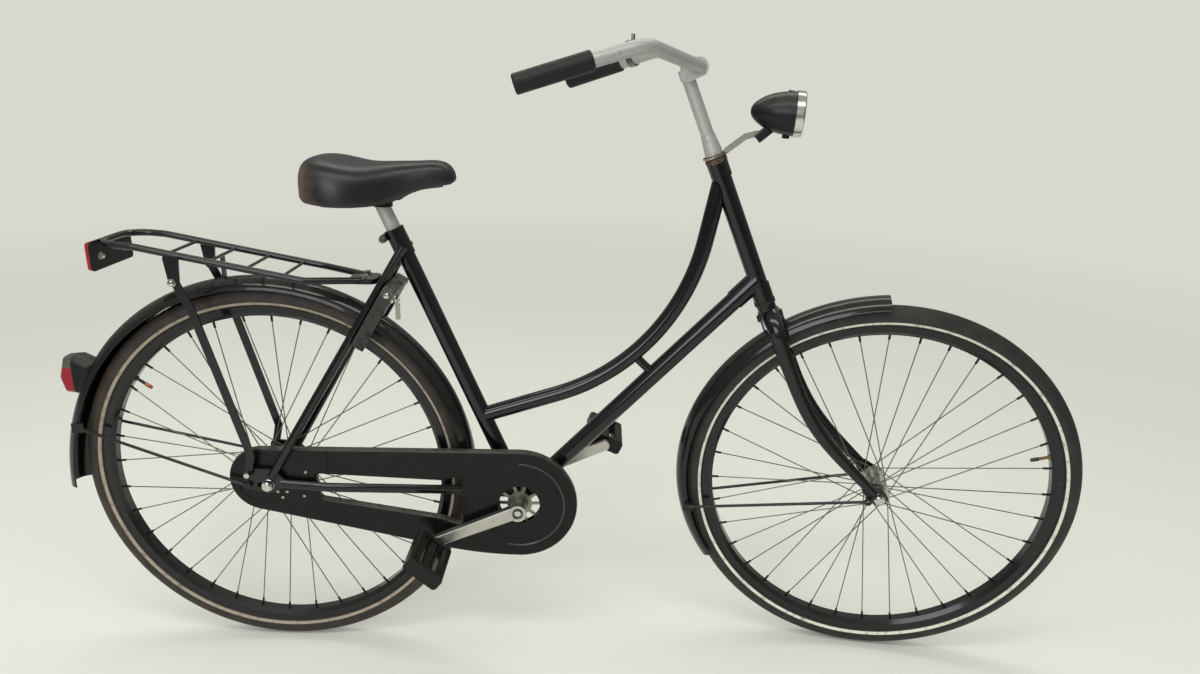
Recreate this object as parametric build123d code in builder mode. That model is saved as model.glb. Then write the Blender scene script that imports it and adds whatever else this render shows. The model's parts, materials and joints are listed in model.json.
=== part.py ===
"""City bicycle: swept single-tube frame, closed chain case, rear rack and ring lock.

Millimetres, +X ahead, +Y left, +Z up.  The origin is the rider's seat point on top of the saddle.
Distances ahead are stated from the rear axle and heights from the ground, see at().
"""
from build123d import *
from math import asin, cos, degrees, radians, sin, sqrt
import os

os.makedirs("parts", exist_ok=True)

# ---- main measures ---------------------------------------------------------------------------
rider_ahead = 190          # seat point ahead of the rear axle
rider_height = 937         # seat point above the ground
wheelbase = 1125
tyre_od = 715
tyre_width = 40
axle_height = tyre_od / 2
head_angle = 67.5          # steering axis from the ground
head_length = 257
rake = 84.3                # front axle ahead of the steering axis
fork_drop = 416            # front axle below the head tube, along the steering axis
rest_turn = -9.6           # front wheel turned to the right in the stored pose
bar_skew = 3.5             # the bar sits a little askew of the wheel
bar_tilt = -2.4            # and hangs a little lower on the left
run_gap = 0.05             # radial gap of a turning fit

head_r = 15.9
seat_tube_r = 15
down_tube_r = 16
top_tube_r = 14.5
post_r = 12.7
stay_r = 8
bar_r = 11.1
tube_wall = 1.6


def at(ahead, height, left=0):
    """Point stated ahead of the rear axle, above the ground and to the left."""
    return Vector(ahead - rider_ahead, left, height - rider_height)


def upright(left):
    """Upright plane facing right, some way to the left: x ahead, y up."""
    return Plane(origin=(0, left, 0), x_dir=(1, 0, 0), z_dir=(0, -1, 0))


def spot(ahead, height):
    """Position on an upright plane."""
    return at(ahead, height).X, at(ahead, height).Z


def rod_plane(start, end):
    return Plane(origin=start, z_dir=end - start)


def rod(start, end, radius, bore=0, mode=Mode.ADD):
    """Round rod or tube between two points."""
    with BuildSketch(rod_plane(start, end)) as ring:
        Circle(radius)
        if bore:
            Circle(bore, mode=Mode.SUBTRACT)
    extrude(ring.sketch, amount=(end - start).length, dir=end - start, mode=mode)


def hex_rod(start, end, radius):
    """Hexagon bar between two points, its radius across the corners."""
    with BuildSketch(rod_plane(start, end)) as hexagon:
        RegularPolygon(radius, 6)
    extrude(hexagon.sketch, amount=(end - start).length, dir=end - start)


def bent_rod(points, radius, bend, mode=Mode.ADD):
    """Rod swept along straight runs joined by bends."""
    with BuildLine() as path:
        FilletPolyline(*points, radius=bend)
    with BuildSketch(Plane(origin=path.line @ 0, z_dir=path.line % 0)) as ring:
        Circle(radius)
    sweep(ring.sketch, path=path.line, mode=mode)


def save(solid, name):
    solid.label = name
    export_step(solid, f"parts/{name}.step")


def between(start, end, share):
    return start + (end - start) * share


# ---- datum points and planes -----------------------------------------------------------------
left_dir = Vector(0, 1, 0)
rear_axle = at(0, axle_height)
bracket = at(456, 320)
seat_foot = at(453, 320)
down_foot = at(457, 314.5)
head_up = Vector(-cos(radians(head_angle)), 0, sin(radians(head_angle)))
head_ahead = Vector(sin(radians(head_angle)), 0, cos(radians(head_angle)))
head_bottom = at(wheelbase, axle_height) - head_ahead * rake + head_up * fork_drop
head_top = head_bottom + head_up * head_length
seat_tube_angle = 66.76
seat_tube_length = 547
seat_up = Vector(-cos(radians(seat_tube_angle)), 0, sin(radians(seat_tube_angle)))
seat_top = seat_foot + seat_up * seat_tube_length


def turned(turn):
    """Plane across the steering axis at the lower end of the head tube: x ahead, z up the axis."""
    ahead = head_ahead.rotate(Axis(head_bottom, head_up), turn)
    return Plane(origin=head_bottom, x_dir=ahead, z_dir=head_up)


straight = turned(0)
fork = turned(rest_turn)
bars = turned(rest_turn + bar_skew)


def on_fork(ahead, up, left=0):
    return fork.from_local_coords(Vector(ahead, left, up))


def on_bars(ahead, up, left=0):
    return bars.from_local_coords(Vector(ahead, left, up))


def steered(point):
    """Where a point of the straight-ahead front end goes once the fork is turned."""
    return fork.from_local_coords(straight.to_local_coords(point))


front_axle = on_fork(rake, -fork_drop)
front_wheel = Plane(origin=front_axle, x_dir=fork.x_dir, z_dir=fork.y_dir)
rear_wheel = Plane(origin=rear_axle, x_dir=(1, 0, 0), z_dir=left_dir)


def section_of(wheel):
    """Plane of a wheel's cross-section: x outward from the axle, y to the left along it."""
    return Plane(origin=wheel.origin, x_dir=wheel.x_dir, z_dir=wheel.x_dir.cross(wheel.z_dir))


# ---- wheels ----------------------------------------------------------------------------------
spoke_count = 36
spoke_r = 1.0
nipple_r = 2.1
nipple_length = 13
rim_inner_r = 305
rim_flange_r = 324
rim_half_width = 14
rim_base_half_width = 8
rim_shoulder_r = 312
rim_wall = 2
bead_seat_r = 316
tyre_wall = 3.5
bead_inner_half_width = 8.5
front_phase = 80.1         # first spoke hole, up from the square to the steering axis
rear_phase = 88.0          # first spoke hole, up from straight ahead
lacing_angle = 60          # hub hole away from the rim hole of the same spoke
flange_thickness = 3
spoke_shift = 1.9          # spoke beside the middle of its flange
front_flange_left = 30
front_pitch_r = 19.5
rear_flange_left = 25
rear_pitch_r = 32.5


def build_tyre(wheel):
    lip = rim_flange_r + 0.3
    bead_width = rim_half_width - rim_wall - bead_inner_half_width
    bead_middle = bead_inner_half_width + bead_width / 2
    with BuildPart() as tyre:
        with BuildSketch(section_of(wheel)):
            with Locations((tyre_od / 2 - tyre_width / 2, 0)):
                Circle(tyre_width / 2)
                Circle(tyre_width / 2 - tyre_wall, mode=Mode.SUBTRACT)
            with Locations((lip, 0)):
                Rectangle(tyre_width, 2 * tyre_width, align=(Align.MAX, Align.CENTER), mode=Mode.SUBTRACT)
            with Locations((bead_seat_r, -bead_middle), (bead_seat_r, bead_middle)):
                Rectangle(lip + 2 - bead_seat_r, bead_width, align=(Align.MIN, Align.CENTER))
        revolve(axis=Axis(wheel.origin, wheel.z_dir))
    return tyre.part


def build_rim(wheel):
    inside = rim_half_width - rim_wall
    base_inside = rim_base_half_width - rim_wall / 2
    half = [(rim_flange_r, inside), (rim_flange_r, rim_half_width), (rim_shoulder_r, rim_half_width),
            (rim_inner_r, rim_base_half_width)]
    half_inner = [(rim_inner_r + rim_wall, base_inside), (rim_shoulder_r + rim_wall / 2, base_inside + 1),
                  (bead_seat_r, bead_inner_half_width - 1), (bead_seat_r, inside)]
    outline = half + [(r, -y) for r, y in reversed(half)]
    outline += [(r, -y) for r, y in reversed(half_inner)] + half_inner
    with BuildPart() as rim:
        with BuildSketch(section_of(wheel)):
            with BuildLine():
                Polyline(*outline, close=True)
            make_face()
        revolve(axis=Axis(wheel.origin, wheel.z_dir))
    return rim.part


def spoke_ends(wheel, phase, flange_left, pitch_r):
    """Hub end and rim end of each spoke, laced three cross."""
    ends = []
    for number in range(spoke_count):
        side = 1 if number % 2 else -1
        trailing = 1 if number // 2 % 2 else -1
        rim_angle = phase + number * 360 / spoke_count
        hub_angle = radians(rim_angle + trailing * lacing_angle)
        rim_angle = radians(rim_angle)
        hub_left = side * (flange_left + trailing * spoke_shift)
        foot = rim_inner_r + 1
        hub_end = Vector(pitch_r * cos(hub_angle), -pitch_r * sin(hub_angle), hub_left)
        rim_end = Vector(foot * cos(rim_angle), -foot * sin(rim_angle), side)
        ends.append((wheel.from_local_coords(hub_end), wheel.from_local_coords(rim_end)))
    return ends


def build_spokes(wheel, phase, flange_left, pitch_r):
    ends = spoke_ends(wheel, phase, flange_left, pitch_r)
    reach = (ends[0][1] - ends[0][0]).length
    with BuildPart() as spokes:
        with BuildSketch(*[rod_plane(hub, rim) for hub, rim in ends]):
            Circle(spoke_r)
        extrude(amount=reach)
        with BuildSketch(*[rod_plane(rim, hub) for hub, rim in ends]):
            Circle(nipple_r)
        extrude(amount=nipple_length)
    return spokes.part


def build_hub(wheel, outline, bore):
    """Hub shell turned from (radius, left) points, with an axle bore right through."""
    with BuildPart() as hub:
        with BuildSketch(section_of(wheel)):
            with BuildLine():
                Polyline((bore, outline[0][1]), *outline, (bore, outline[-1][1]), close=True)
            make_face()
        revolve(axis=Axis(wheel.origin, wheel.z_dir))
    return hub.part


cone_r = 7                 # axle cones the hubs turn on
front_cone_left = 36
front_axle_r = 4.7
rear_axle_r = 5
front_barrel_r = 11
front_flange_r = front_pitch_r + 3
rear_barrel_r = 27
rear_flange_r = rear_pitch_r + 3.5
driver_r = 17              # drive side of the rear hub, reaching into the chain case
driver_left = -45
brake_side_left = 38


def flange(middle, radius, root):
    """Points of one spoke flange, from its right face to its left face."""
    half = flange_thickness / 2
    return [(root, middle - half), (radius, middle - half), (radius, middle + half), (root, middle + half)]


hub_barrel_r = cone_r + 6
front_hub_outline = [(hub_barrel_r, -front_cone_left + 2)]
front_hub_outline += flange(-front_flange_left, front_flange_r, hub_barrel_r)
front_hub_outline += [(front_barrel_r, -front_flange_left + 6), (front_barrel_r, front_flange_left - 6)]
front_hub_outline += flange(front_flange_left, front_flange_r, hub_barrel_r)
front_hub_outline += [(hub_barrel_r, front_cone_left - 2)]
rear_hub_outline = [(driver_r, driver_left), (driver_r, -rear_flange_left - 3)]
rear_hub_outline += flange(-rear_flange_left, rear_flange_r, rear_barrel_r)
rear_hub_outline += flange(rear_flange_left, rear_flange_r, rear_barrel_r)
rear_hub_outline += [(rear_barrel_r - 3, rear_flange_left + 6), (rear_barrel_r - 7, brake_side_left)]

for name, wheel, phase, flange_left, pitch_r, outline in (
        ("front", front_wheel, front_phase, front_flange_left, front_pitch_r, front_hub_outline),
        ("rear", rear_wheel, rear_phase, rear_flange_left, rear_pitch_r, rear_hub_outline)):
    save(build_tyre(wheel), f"{name}_tyre")
    save(build_rim(wheel), f"{name}_rim")
    save(build_spokes(wheel, phase, flange_left, pitch_r), f"{name}_spokes")
    save(build_hub(wheel, outline, cone_r + run_gap), f"{name}_hub")


def build_axle(wheel, cone_ends, axle_r, axle_half, nuts, nut_r):
    """Axle with its cones and two domed nuts; nuts lists (start, end) along the axle."""
    def along(left):
        return wheel.from_local_coords(Vector(0, 0, left))
    with BuildPart() as axle:
        rod(along(-axle_half), along(axle_half), axle_r)
        rod(along(cone_ends[0]), along(cone_ends[1]), cone_r)
        for start, end in nuts:
            dome = between(along(start), along(end), 1 - nut_dome / abs(end - start))
            hex_rod(along(start), dome, nut_r)
            rod(dome, along(end), nut_r - nut_dome)
    return axle.part


nut_dome = 3
fork_end_left = 48         # middle of each front fork end
fork_end_thick = 4
rear_end_left = 62.5         # middle of each rear dropout
rear_end_thick = 5
nut_r = 10
nut_deep = 11
front_nut = fork_end_left + fork_end_thick / 2
rear_nut = rear_end_left + rear_end_thick / 2
front_axle_set = build_axle(front_wheel, (-front_cone_left, front_cone_left), front_axle_r,
                            front_nut + nut_deep - 1,
                            [(front_nut, front_nut + nut_deep), (-front_nut, -front_nut - nut_deep)], nut_r)
save(front_axle_set, "front_axle")
save(build_axle(rear_wheel, (driver_left - 1, brake_side_left + 1), rear_axle_r, rear_nut + nut_deep - 1,
                [(rear_nut, rear_nut + nut_deep), (-rear_nut, -rear_nut - nut_deep)], nut_r), "rear_axle")

# ---- frame tubes -----------------------------------------------------------------------------
shell_r = 20.5
shell_half = 34
spindle_r = 8.5
cup_r = 17
cup_flange = 3
lug_wall = 2.2
lug_length = 42
down_tube_end = head_bottom + head_up * 39.2
bracket_right = bracket - left_dir * shell_half
bracket_left = bracket + left_dir * shell_half
seat_lug = 50

with BuildPart() as shell:
    rod(bracket_right, bracket_left, shell_r)
    rod(seat_foot, seat_foot + seat_up * lug_length, seat_tube_r + lug_wall)
    rod(down_foot, between(down_foot, down_tube_end, lug_length / (down_tube_end - down_foot).length),
        down_tube_r + lug_wall)
    rod(seat_foot, seat_top, seat_tube_r, mode=Mode.SUBTRACT)
    rod(down_foot, down_tube_end, down_tube_r, mode=Mode.SUBTRACT)
    rod(bracket_right, bracket_left, shell_r - 3)
    rod(bracket_right, bracket_left, cup_r, mode=Mode.SUBTRACT)
save(shell.part, "bottom_bracket_shell")

with BuildPart() as cups:
    for side in (-1, 1):
        face = bracket + left_dir * side * shell_half
        rod(face - left_dir * side * cup_flange * 4, face, cup_r)
        rod(face, face + left_dir * side * cup_flange, shell_r - 1)
    rod(bracket_right - left_dir * shell_half, bracket_left + left_dir * shell_half, spindle_r + run_gap,
        mode=Mode.SUBTRACT)
save(cups.part, "bottom_bracket_cups")

with BuildPart() as seat_tube:
    rod(seat_foot, seat_top, seat_tube_r)
    rod(seat_top - seat_up * seat_lug, seat_top, seat_tube_r + lug_wall)
    ear_back = Vector(-sin(radians(seat_tube_angle)), 0, -cos(radians(seat_tube_angle)))
    ear = seat_top - seat_up * 9 + ear_back * (seat_tube_r + 6)
    rod(ear - left_dir * 12, ear + left_dir * 12, 7)
    rod(seat_foot - seat_up, seat_top + seat_up, post_r, mode=Mode.SUBTRACT)
    rod(bracket_right, bracket_left, shell_r, mode=Mode.SUBTRACT)
    rod(ear - left_dir * 20, ear + left_dir * 20, 4, mode=Mode.SUBTRACT)
    with BuildSketch(Plane(origin=seat_top, x_dir=left_dir, z_dir=-seat_up)):
        with Locations((0, -20)):
            Rectangle(2.5, 40)
    extrude(amount=seat_lug * 0.75, mode=Mode.SUBTRACT)
save(seat_tube.part, "seat_tube")

with BuildPart() as bolt:
    rod(ear - left_dir * 16, ear + left_dir * 16, 3.9)
    for side in (-1, 1):
        hex_rod(ear + left_dir * side * 12, ear + left_dir * side * 19, 7)
save(bolt.part, "seat_clamp_bolt")

cup_lip_r = 18.8
steerer_r = 12.7
head_bore_r = head_r - tube_wall
head_cup_deep = 10
head_cup_lip = 7
lower_lug = 30
upper_lug = 26

with BuildPart() as head_tube:
    rod(head_bottom, head_top, head_r)
    rod(head_bottom, head_bottom + head_up * lower_lug, head_r + lug_wall)
    rod(head_top - head_up * upper_lug, head_top, head_r + lug_wall)
    rod(down_tube_end, between(down_tube_end, down_foot, 0.09), down_tube_r + lug_wall)
    rod(down_tube_end, down_foot, down_tube_r, mode=Mode.SUBTRACT)
    rod(head_bottom, head_top, head_bore_r, mode=Mode.SUBTRACT)
save(head_tube.part, "head_tube")

with BuildPart() as down_tube:
    rod(down_foot, down_tube_end, down_tube_r)
    rod(bracket_right, bracket_left, shell_r, mode=Mode.SUBTRACT)
    rod(seat_foot, seat_top, seat_tube_r, mode=Mode.SUBTRACT)
    rod(head_bottom, head_top, head_r, mode=Mode.SUBTRACT)
save(down_tube.part, "down_tube")

# the top tube leaves the seat tube low down, sweeps up in an arc and joins the upper head lug
top_tube_foot = at(384, 477)
top_tube_slope = 18.17
top_tube_bend_r = 384.7
top_tube_steepness = 78.97
top_tube_drop = 26          # its top end, down the steering axis from the head tube's top
top_tube_end = head_top - head_up * top_tube_drop
foot_run = Vector(cos(radians(top_tube_slope)), 0, sin(radians(top_tube_slope)))
end_run = Vector(cos(radians(top_tube_steepness)), 0, sin(radians(top_tube_steepness)))
across_run = foot_run.cross(left_dir)
reach_down = (top_tube_end - top_tube_foot).dot(across_run) / end_run.dot(across_run)
top_tube_corner = top_tube_end - end_run * reach_down
top_tube_points = [top_tube_foot, top_tube_corner, top_tube_end]
with BuildLine() as top_path:
    FilletPolyline(*top_tube_points, radius=top_tube_bend_r)
# a short bridge, part of the way up, stands square on the down tube
bridge_share = 0.46
bridge_top = top_path.line @ bridge_share
down_run = (down_tube_end - down_foot).normalized()
bridge_foot = down_foot + down_run * (bridge_top - down_foot).dot(down_run)
with BuildPart() as top_tube:
    bent_rod(top_tube_points, top_tube_r, top_tube_bend_r)
    rod(bridge_top, bridge_foot, stay_r)
    rod(seat_foot, seat_top, seat_tube_r, mode=Mode.SUBTRACT)
    rod(head_bottom, head_top + head_up * lug_length, head_r + lug_wall, mode=Mode.SUBTRACT)
    add(down_tube.part, mode=Mode.SUBTRACT)
save(top_tube.part, "top_tube")

with BuildPart() as headset_cups:
    for face, outward in ((head_bottom, -head_up), (head_top, head_up)):
        rod(face - outward * head_cup_deep, face, head_bore_r)
        rod(face, face + outward * head_cup_lip, cup_lip_r)
    rod(head_bottom - head_up * lug_length, head_top + head_up * lug_length, steerer_r + run_gap,
        mode=Mode.SUBTRACT)
save(headset_cups.part, "headset_cups")

axle_spot = (rear_axle.X, rear_axle.Z)
rack_eye = at(-32, 382)
stay_eye = at(-36, 357)

# ---- stays -----------------------------------------------------------------------------------
chain_stay_half_wide = 5.5
chain_stay_half_tall = 9
with BuildPart() as dropouts:
    for side in (-1, 1):
        face = upright(side * rear_end_left + rear_end_thick / 2)
        with BuildSketch(face):
            with Locations(axle_spot):
                Circle(17)
            with Locations(spot(26, 361), spot(9, 380), (rack_eye.X, rack_eye.Z), (stay_eye.X, stay_eye.Z)):
                Circle(8)
            make_hull()
        extrude(amount=rear_end_thick)
        with BuildSketch(face):
            with Locations(axle_spot):
                Circle(rear_axle_r + run_gap)
            with Locations(spot(-9, axle_height)):
                SlotCenterToCenter(12, 2 * (rear_axle_r + run_gap))
            with Locations((rack_eye.X, rack_eye.Z), (stay_eye.X, stay_eye.Z)):
                Circle(2.6)
        extrude(amount=rear_end_thick, mode=Mode.SUBTRACT)

with BuildPart() as chain_stays:
    for side in (-1, 1):
        with BuildLine() as stay_path:
            FilletPolyline(at(452, 331, side * 27), at(350, 338, side * 30.5),
                           at(110, 354, side * rear_end_left), at(22, 360, side * rear_end_left),
                           radius=120)
        with BuildSketch(Plane(origin=stay_path.line @ 0, x_dir=left_dir, z_dir=stay_path.line % 0)):
            Ellipse(chain_stay_half_wide, chain_stay_half_tall)
        sweep(path=stay_path.line)
    rod(at(369.5, 341, -29), at(369.5, 341, 29), 5)
    rod(bracket_right, bracket_left, shell_r, mode=Mode.SUBTRACT)
    rod(seat_foot, seat_top, seat_tube_r, mode=Mode.SUBTRACT)
    add(dropouts.part)
save(chain_stays.part, "chain_stays")

with BuildPart() as seat_stays:
    for side in (-1, 1):
        stay_points = [at(7, 373, side * rear_end_left), at(52, 450, side * rear_end_left),
                       at(258, 796, side * 22)]
        bent_rod(stay_points, stay_r, 200)
    rod(at(191.1, 684.4, -33), at(191.1, 684.4, 33), 5)
    add(dropouts.part, mode=Mode.SUBTRACT)
    rod(seat_foot, seat_top, seat_tube_r + lug_wall, mode=Mode.SUBTRACT)
save(seat_stays.part, "seat_stays")

# ---- saddle and its post ---------------------------------------------------------------------
post_top = seat_foot + seat_up * 604
with BuildPart() as seat_post:
    rod(seat_foot + seat_up * 450, post_top, post_r)
save(seat_post.part, "seat_post")

# ahead of the rear axle, half width, height of the middle, height of the lower edge
saddle_stations = [(91, 36, 918, 882), (102, 64, 939, 875), (122, 84, 946, 872), (152, 93, 944, 870),
                   (189, 87, 937, 868), (226, 63, 936, 869), (256, 46, 937.5, 879), (290, 36, 939, 893),
                   (328, 28, 938, 899), (347, 19, 914, 900)]


def saddle_ribs(stations, side_inset, top_inset, drop):
    """Cross-sections of the saddle, drawn in from the outer skin."""
    for ahead, half, top, edge in stations:
        half, top, edge = half - side_inset, top - top_inset, edge - drop
        rise = top - edge
        with BuildSketch(Plane(origin=at(ahead, rider_height), x_dir=left_dir, z_dir=(1, 0, 0))) as rib:
            with BuildLine():
                edge, top = edge - rider_height, top - rider_height
                Spline((-half, edge), (-half, edge + rise * 0.3), (-half * 0.86, top - rise * 0.2),
                       (-half * 0.5, top - rise * 0.03), (0, top), (half * 0.5, top - rise * 0.03),
                       (half * 0.86, top - rise * 0.2), (half, edge + rise * 0.3), (half, edge))
                Line((half, edge), (-half, edge))
            make_face()
        yield rib.sketch


saddle_pad = 12
base_wall = 3
with BuildPart() as saddle_hollow:
    loft(list(saddle_ribs(saddle_stations[1:-1], saddle_pad, saddle_pad, 1)))
with BuildPart() as base_hollow:
    loft(list(saddle_ribs(saddle_stations[1:-1], saddle_pad + base_wall, saddle_pad + base_wall, 2)))

with BuildPart() as saddle:
    loft(list(saddle_ribs(saddle_stations, 0, 0, 0)))
    add(saddle_hollow.part, mode=Mode.SUBTRACT)
save(saddle.part, "saddle")

saddle_clamp_top = post_top + Vector(0, 0, 6)
with BuildPart() as saddle_base:
    add(saddle_hollow.part)
    add(base_hollow.part, mode=Mode.SUBTRACT)
    with BuildSketch(Plane.XY.offset(at(0, 873).Z)):
        Rectangle(4 * rider_ahead, 2 * rider_ahead)
    extrude(amount=-60, mode=Mode.SUBTRACT)
save(saddle_base.part, "saddle_base")

# two steel rails run under the base from its rear edge to the nose, held by a clamp on the post
rail_r = 3.5
with BuildPart() as saddle_rails:
    for side in (-1, 1):
        rail_points = [at(118, 922, side * 40), at(134, 886, side * 38), at(180, 878, side * 22),
                       at(255, 878, side * 22), at(312, 920, side * 9)]
        bent_rod(rail_points, rail_r, 12)
    add(saddle_base.part, mode=Mode.SUBTRACT)
    with BuildSketch(Plane.XY.offset(at(0, 868).Z)):
        with Locations((at(218, 0).X, 0)):
            RectangleRounded(40, 60, 8)
    extrude(amount=20)
    with BuildSketch(Plane.XY.offset(at(0, 861).Z)):
        with Locations((at(221, 0).X, 0)):
            Circle(post_r + 4)
    extrude(amount=10)
    add(seat_post.part, mode=Mode.SUBTRACT)
save(saddle_rails.part, "saddle_rails")


# ---- fenders ---------------------------------------------------------------------------------
fender_half_width = 27
fender_depth = 20
fender_sheet = 1.2
front_side_point = steered(Vector(0, 0, 0))
front_side = Plane(origin=front_side_point, x_dir=steered(Vector(1, 0, 0)) - front_side_point,
                   z_dir=steered(Vector(0, -1, 0)) - front_side_point)
# first centre ahead and above the ground, and the angle up from straight ahead where the sheet starts
rear_fender_start = (-6.3, 356.3, -2)
front_fender_start = (wheelbase + 10.4, 341.9, 94.9)
# then each arc: radius to the crest and the angle where it ends
rear_fender_arcs = [(378.1, 144.2), (446.5, 179)]
front_fender_arcs = [(391, 154.6), (339.8, 215)]


def fender(side_plane, first, arcs, sheet):
    """Arched fender shell; without a sheet thickness, the full body it would enclose."""
    ahead, height, start = first
    centre = Vector(*spot(ahead, height), 0)
    last_crest = arcs[0][0]
    with BuildPart() as shell:
        for crest, end in arcs:
            toward = Vector(cos(radians(start)), sin(radians(start)), 0)
            centre = centre + toward * (last_crest - crest)
            middle = side_plane.from_local_coords(centre)
            outward = side_plane.from_local_coords(centre + toward) - middle
            with BuildSketch(Plane(origin=middle, x_dir=outward, z_dir=outward.cross(side_plane.z_dir))):
                with BuildLine():
                    edge = crest - fender_depth
                    outer = ThreePointArc((edge, -fender_half_width), (crest, 0), (edge, fender_half_width))
                    if sheet:
                        inner = ThreePointArc((edge, -fender_half_width + sheet), (crest - sheet, 0),
                                              (edge, fender_half_width - sheet))
                        Line(outer @ 0, inner @ 0)
                        Line(outer @ 1, inner @ 1)
                    else:
                        Line(outer @ 0, outer @ 1)
                make_face()
            revolve(axis=Axis(middle, side_plane.z_dir), revolution_arc=end - start)
            start, last_crest = end, crest
    return shell.part


with BuildPart() as rear_fender:
    add(fender(upright(0), rear_fender_start, rear_fender_arcs, fender_sheet))
    add(chain_stays.part, mode=Mode.SUBTRACT)
    add(seat_stays.part, mode=Mode.SUBTRACT)
save(rear_fender.part, "rear_fender")
save(fender(front_side, front_fender_start, front_fender_arcs, fender_sheet), "front_fender")
rear_fender_body = fender(upright(0), rear_fender_start, rear_fender_arcs, 0)
front_fender_body = fender(front_side, front_fender_start, front_fender_arcs, 0)
fender_stay_r = 2.75

with BuildPart() as rear_fender_stays:
    for side in (-1, 1):
        eye = Vector(stay_eye.X, side * (rear_nut + 3), stay_eye.Z)
        foot = at(-352, 447, side * (fender_half_width + fender_stay_r))
        rod(eye, foot, fender_stay_r)
        rod(eye - left_dir * side * 3, eye + left_dir * side * 3, 7)
        with BuildSketch(Plane(origin=foot, x_dir=(1, 0, 0), z_dir=left_dir)):
            Rectangle(22, 18)
        extrude(amount=2, both=True)
    add(rear_fender_body, mode=Mode.SUBTRACT)
    add(chain_stays.part, mode=Mode.SUBTRACT)
save(rear_fender_stays.part, "rear_fender_stays")

with BuildPart() as front_fender_stays:
    for side in (-1, 1):
        eye = steered(at(wheelbase - 19, axle_height - 7, side * (front_nut + 3)))
        foot = steered(at(wheelbase - 347, 287, side * (fender_half_width + fender_stay_r)))
        rod(eye, foot, fender_stay_r)
        rod(eye - fork.y_dir * 2, eye + fork.y_dir * 2, 7)
        rod(eye - fork.y_dir * 3, eye + fork.y_dir * 3, 2.6, mode=Mode.SUBTRACT)
        with BuildSketch(Plane(origin=foot, x_dir=front_side.x_dir, z_dir=fork.y_dir)):
            Rectangle(20, 16)
        extrude(amount=2, both=True)
    add(front_fender_body, mode=Mode.SUBTRACT)

# ---- tail lamp -------------------------------------------------------------------------------
lamp_half_width = 21
lens_ahead = -352
lamp_top = 581
clear_lens_tall = 21
lens_split = lamp_top - clear_lens_tall
lamp_outline = [(-369, lamp_top - 3), (-342, lamp_top), (-312, 566), (-330, 516), (-352, 508), (-373, 511),
                (-380, 540)]


def lamp_piece(lowest, highest, rearmost, foremost, inset):
    """The part of the tail lamp's block inside a box given from the side."""
    with BuildPart() as piece:
        with BuildSketch(upright(lamp_half_width)):
            with BuildLine():
                Polyline(*[spot(*corner) for corner in lamp_outline], close=True)
            make_face()
            fillet(vertices(), 5)
        extrude(amount=2 * lamp_half_width)
        fillet(edges().filter_by(Axis.Z, 12).sort_by(Axis.X)[0:2], 14)
        with BuildSketch(upright(lamp_half_width - inset)):
            with Locations(spot((rearmost + foremost) / 2, (lowest + highest) / 2)):
                Rectangle(foremost - rearmost, highest - lowest)
        extrude(amount=2 * (lamp_half_width - inset), mode=Mode.INTERSECT)
        add(rear_fender_body, mode=Mode.SUBTRACT)
    return piece.part


save(lamp_piece(480, 600, lens_ahead, -300, 0), "tail_lamp_housing")
save(lamp_piece(480, lens_split, -400, lens_ahead, 2), "tail_lamp_red_lens")
save(lamp_piece(lens_split, 600, -400, lens_ahead, 2), "tail_lamp_clear_lens")

# ---- rear rack -------------------------------------------------------------------------------
rack_half = 58
rack_rear = -250
rack_fall_start = 95
rack_r = 6
rack_slope = (793 - 740) / (190 + rack_fall_start)
right_rail = [at(188, 733, -18), at(rack_fall_start, 740, -rack_half), at(-190, 793, -rack_half),
              at(rack_rear, 797, -rack_half)]
left_rail = [Vector(p.X, -p.Y, p.Z) for p in reversed(right_rail)]
rack_wires = (-131, -64, -3, 58)
with BuildPart() as rack:
    bent_rod(right_rail + left_rail, rack_r, 38)
    for ahead in rack_wires:
        height = right_rail[1].Z + rack_slope * (rack_fall_start - ahead)
        rod(Vector(at(ahead, 0).X, -rack_half, height), Vector(at(ahead, 0).X, rack_half, height), 2.75)
    with BuildSketch(upright(7)):
        with Locations(spot(-65, 750)):
            Rectangle(2.5, 44)
    extrude(amount=14)
    with BuildSketch(Plane.XY.offset(at(0, 728).Z)):
        with Locations((at(183, 0).X, 0)):
            RectangleRounded(48, 52, 12)
    extrude(amount=9)
    add(seat_stays.part, mode=Mode.SUBTRACT)
    add(rear_fender_body, mode=Mode.SUBTRACT)
save(rack.part, "rack")

leg_left = 69
leg_half_thick = 2
leg_path = [at(-120, 738), at(-98, 690), at(-24, 418), at(-32, 382)]
with BuildPart() as rack_legs:
    for side in (-1, 1):
        for start, end in zip(leg_path, leg_path[1:]):
            with BuildSketch(upright(side * leg_left + leg_half_thick)):
                with Locations((start.X, start.Z), (end.X, end.Z)):
                    Circle(7)
                make_hull()
            extrude(amount=2 * leg_half_thick)
        with BuildSketch(upright(side * leg_left + leg_half_thick)):
            with Locations(spot(-120, 738)):
                Circle(9)
            with Locations(spot(-128, 776), spot(-114, 774)):
                Circle(6)
            make_hull()
        extrude(amount=2 * leg_half_thick)
        rod(at(-121, 776, side * leg_left), at(-121, 776, side * rack_half), 4.5)
        rod(rack_eye + left_dir * side * rear_nut, rack_eye + left_dir * side * (leg_left + 6), 5)
    add(rack.part, mode=Mode.SUBTRACT)
save(rack_legs.part, "rack_legs")

reflector_front = rack_rear - rack_r
with BuildPart() as reflector_plate:
    with BuildSketch(Plane(origin=at(reflector_front - 3, 774), x_dir=left_dir, z_dir=(1, 0, 0))):
        RectangleRounded(128, 50, 6)
    extrude(amount=3)
save(reflector_plate.part, "reflector_plate")

with BuildPart() as reflector:
    with BuildSketch(Plane(origin=at(reflector_front - 3, 774), x_dir=left_dir, z_dir=(-1, 0, 0))):
        RectangleRounded(126, 48, 6)
    extrude(amount=7)
    fillet(faces().sort_by(Axis.X)[0].edges(), 2)
save(reflector.part, "reflector")

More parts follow.
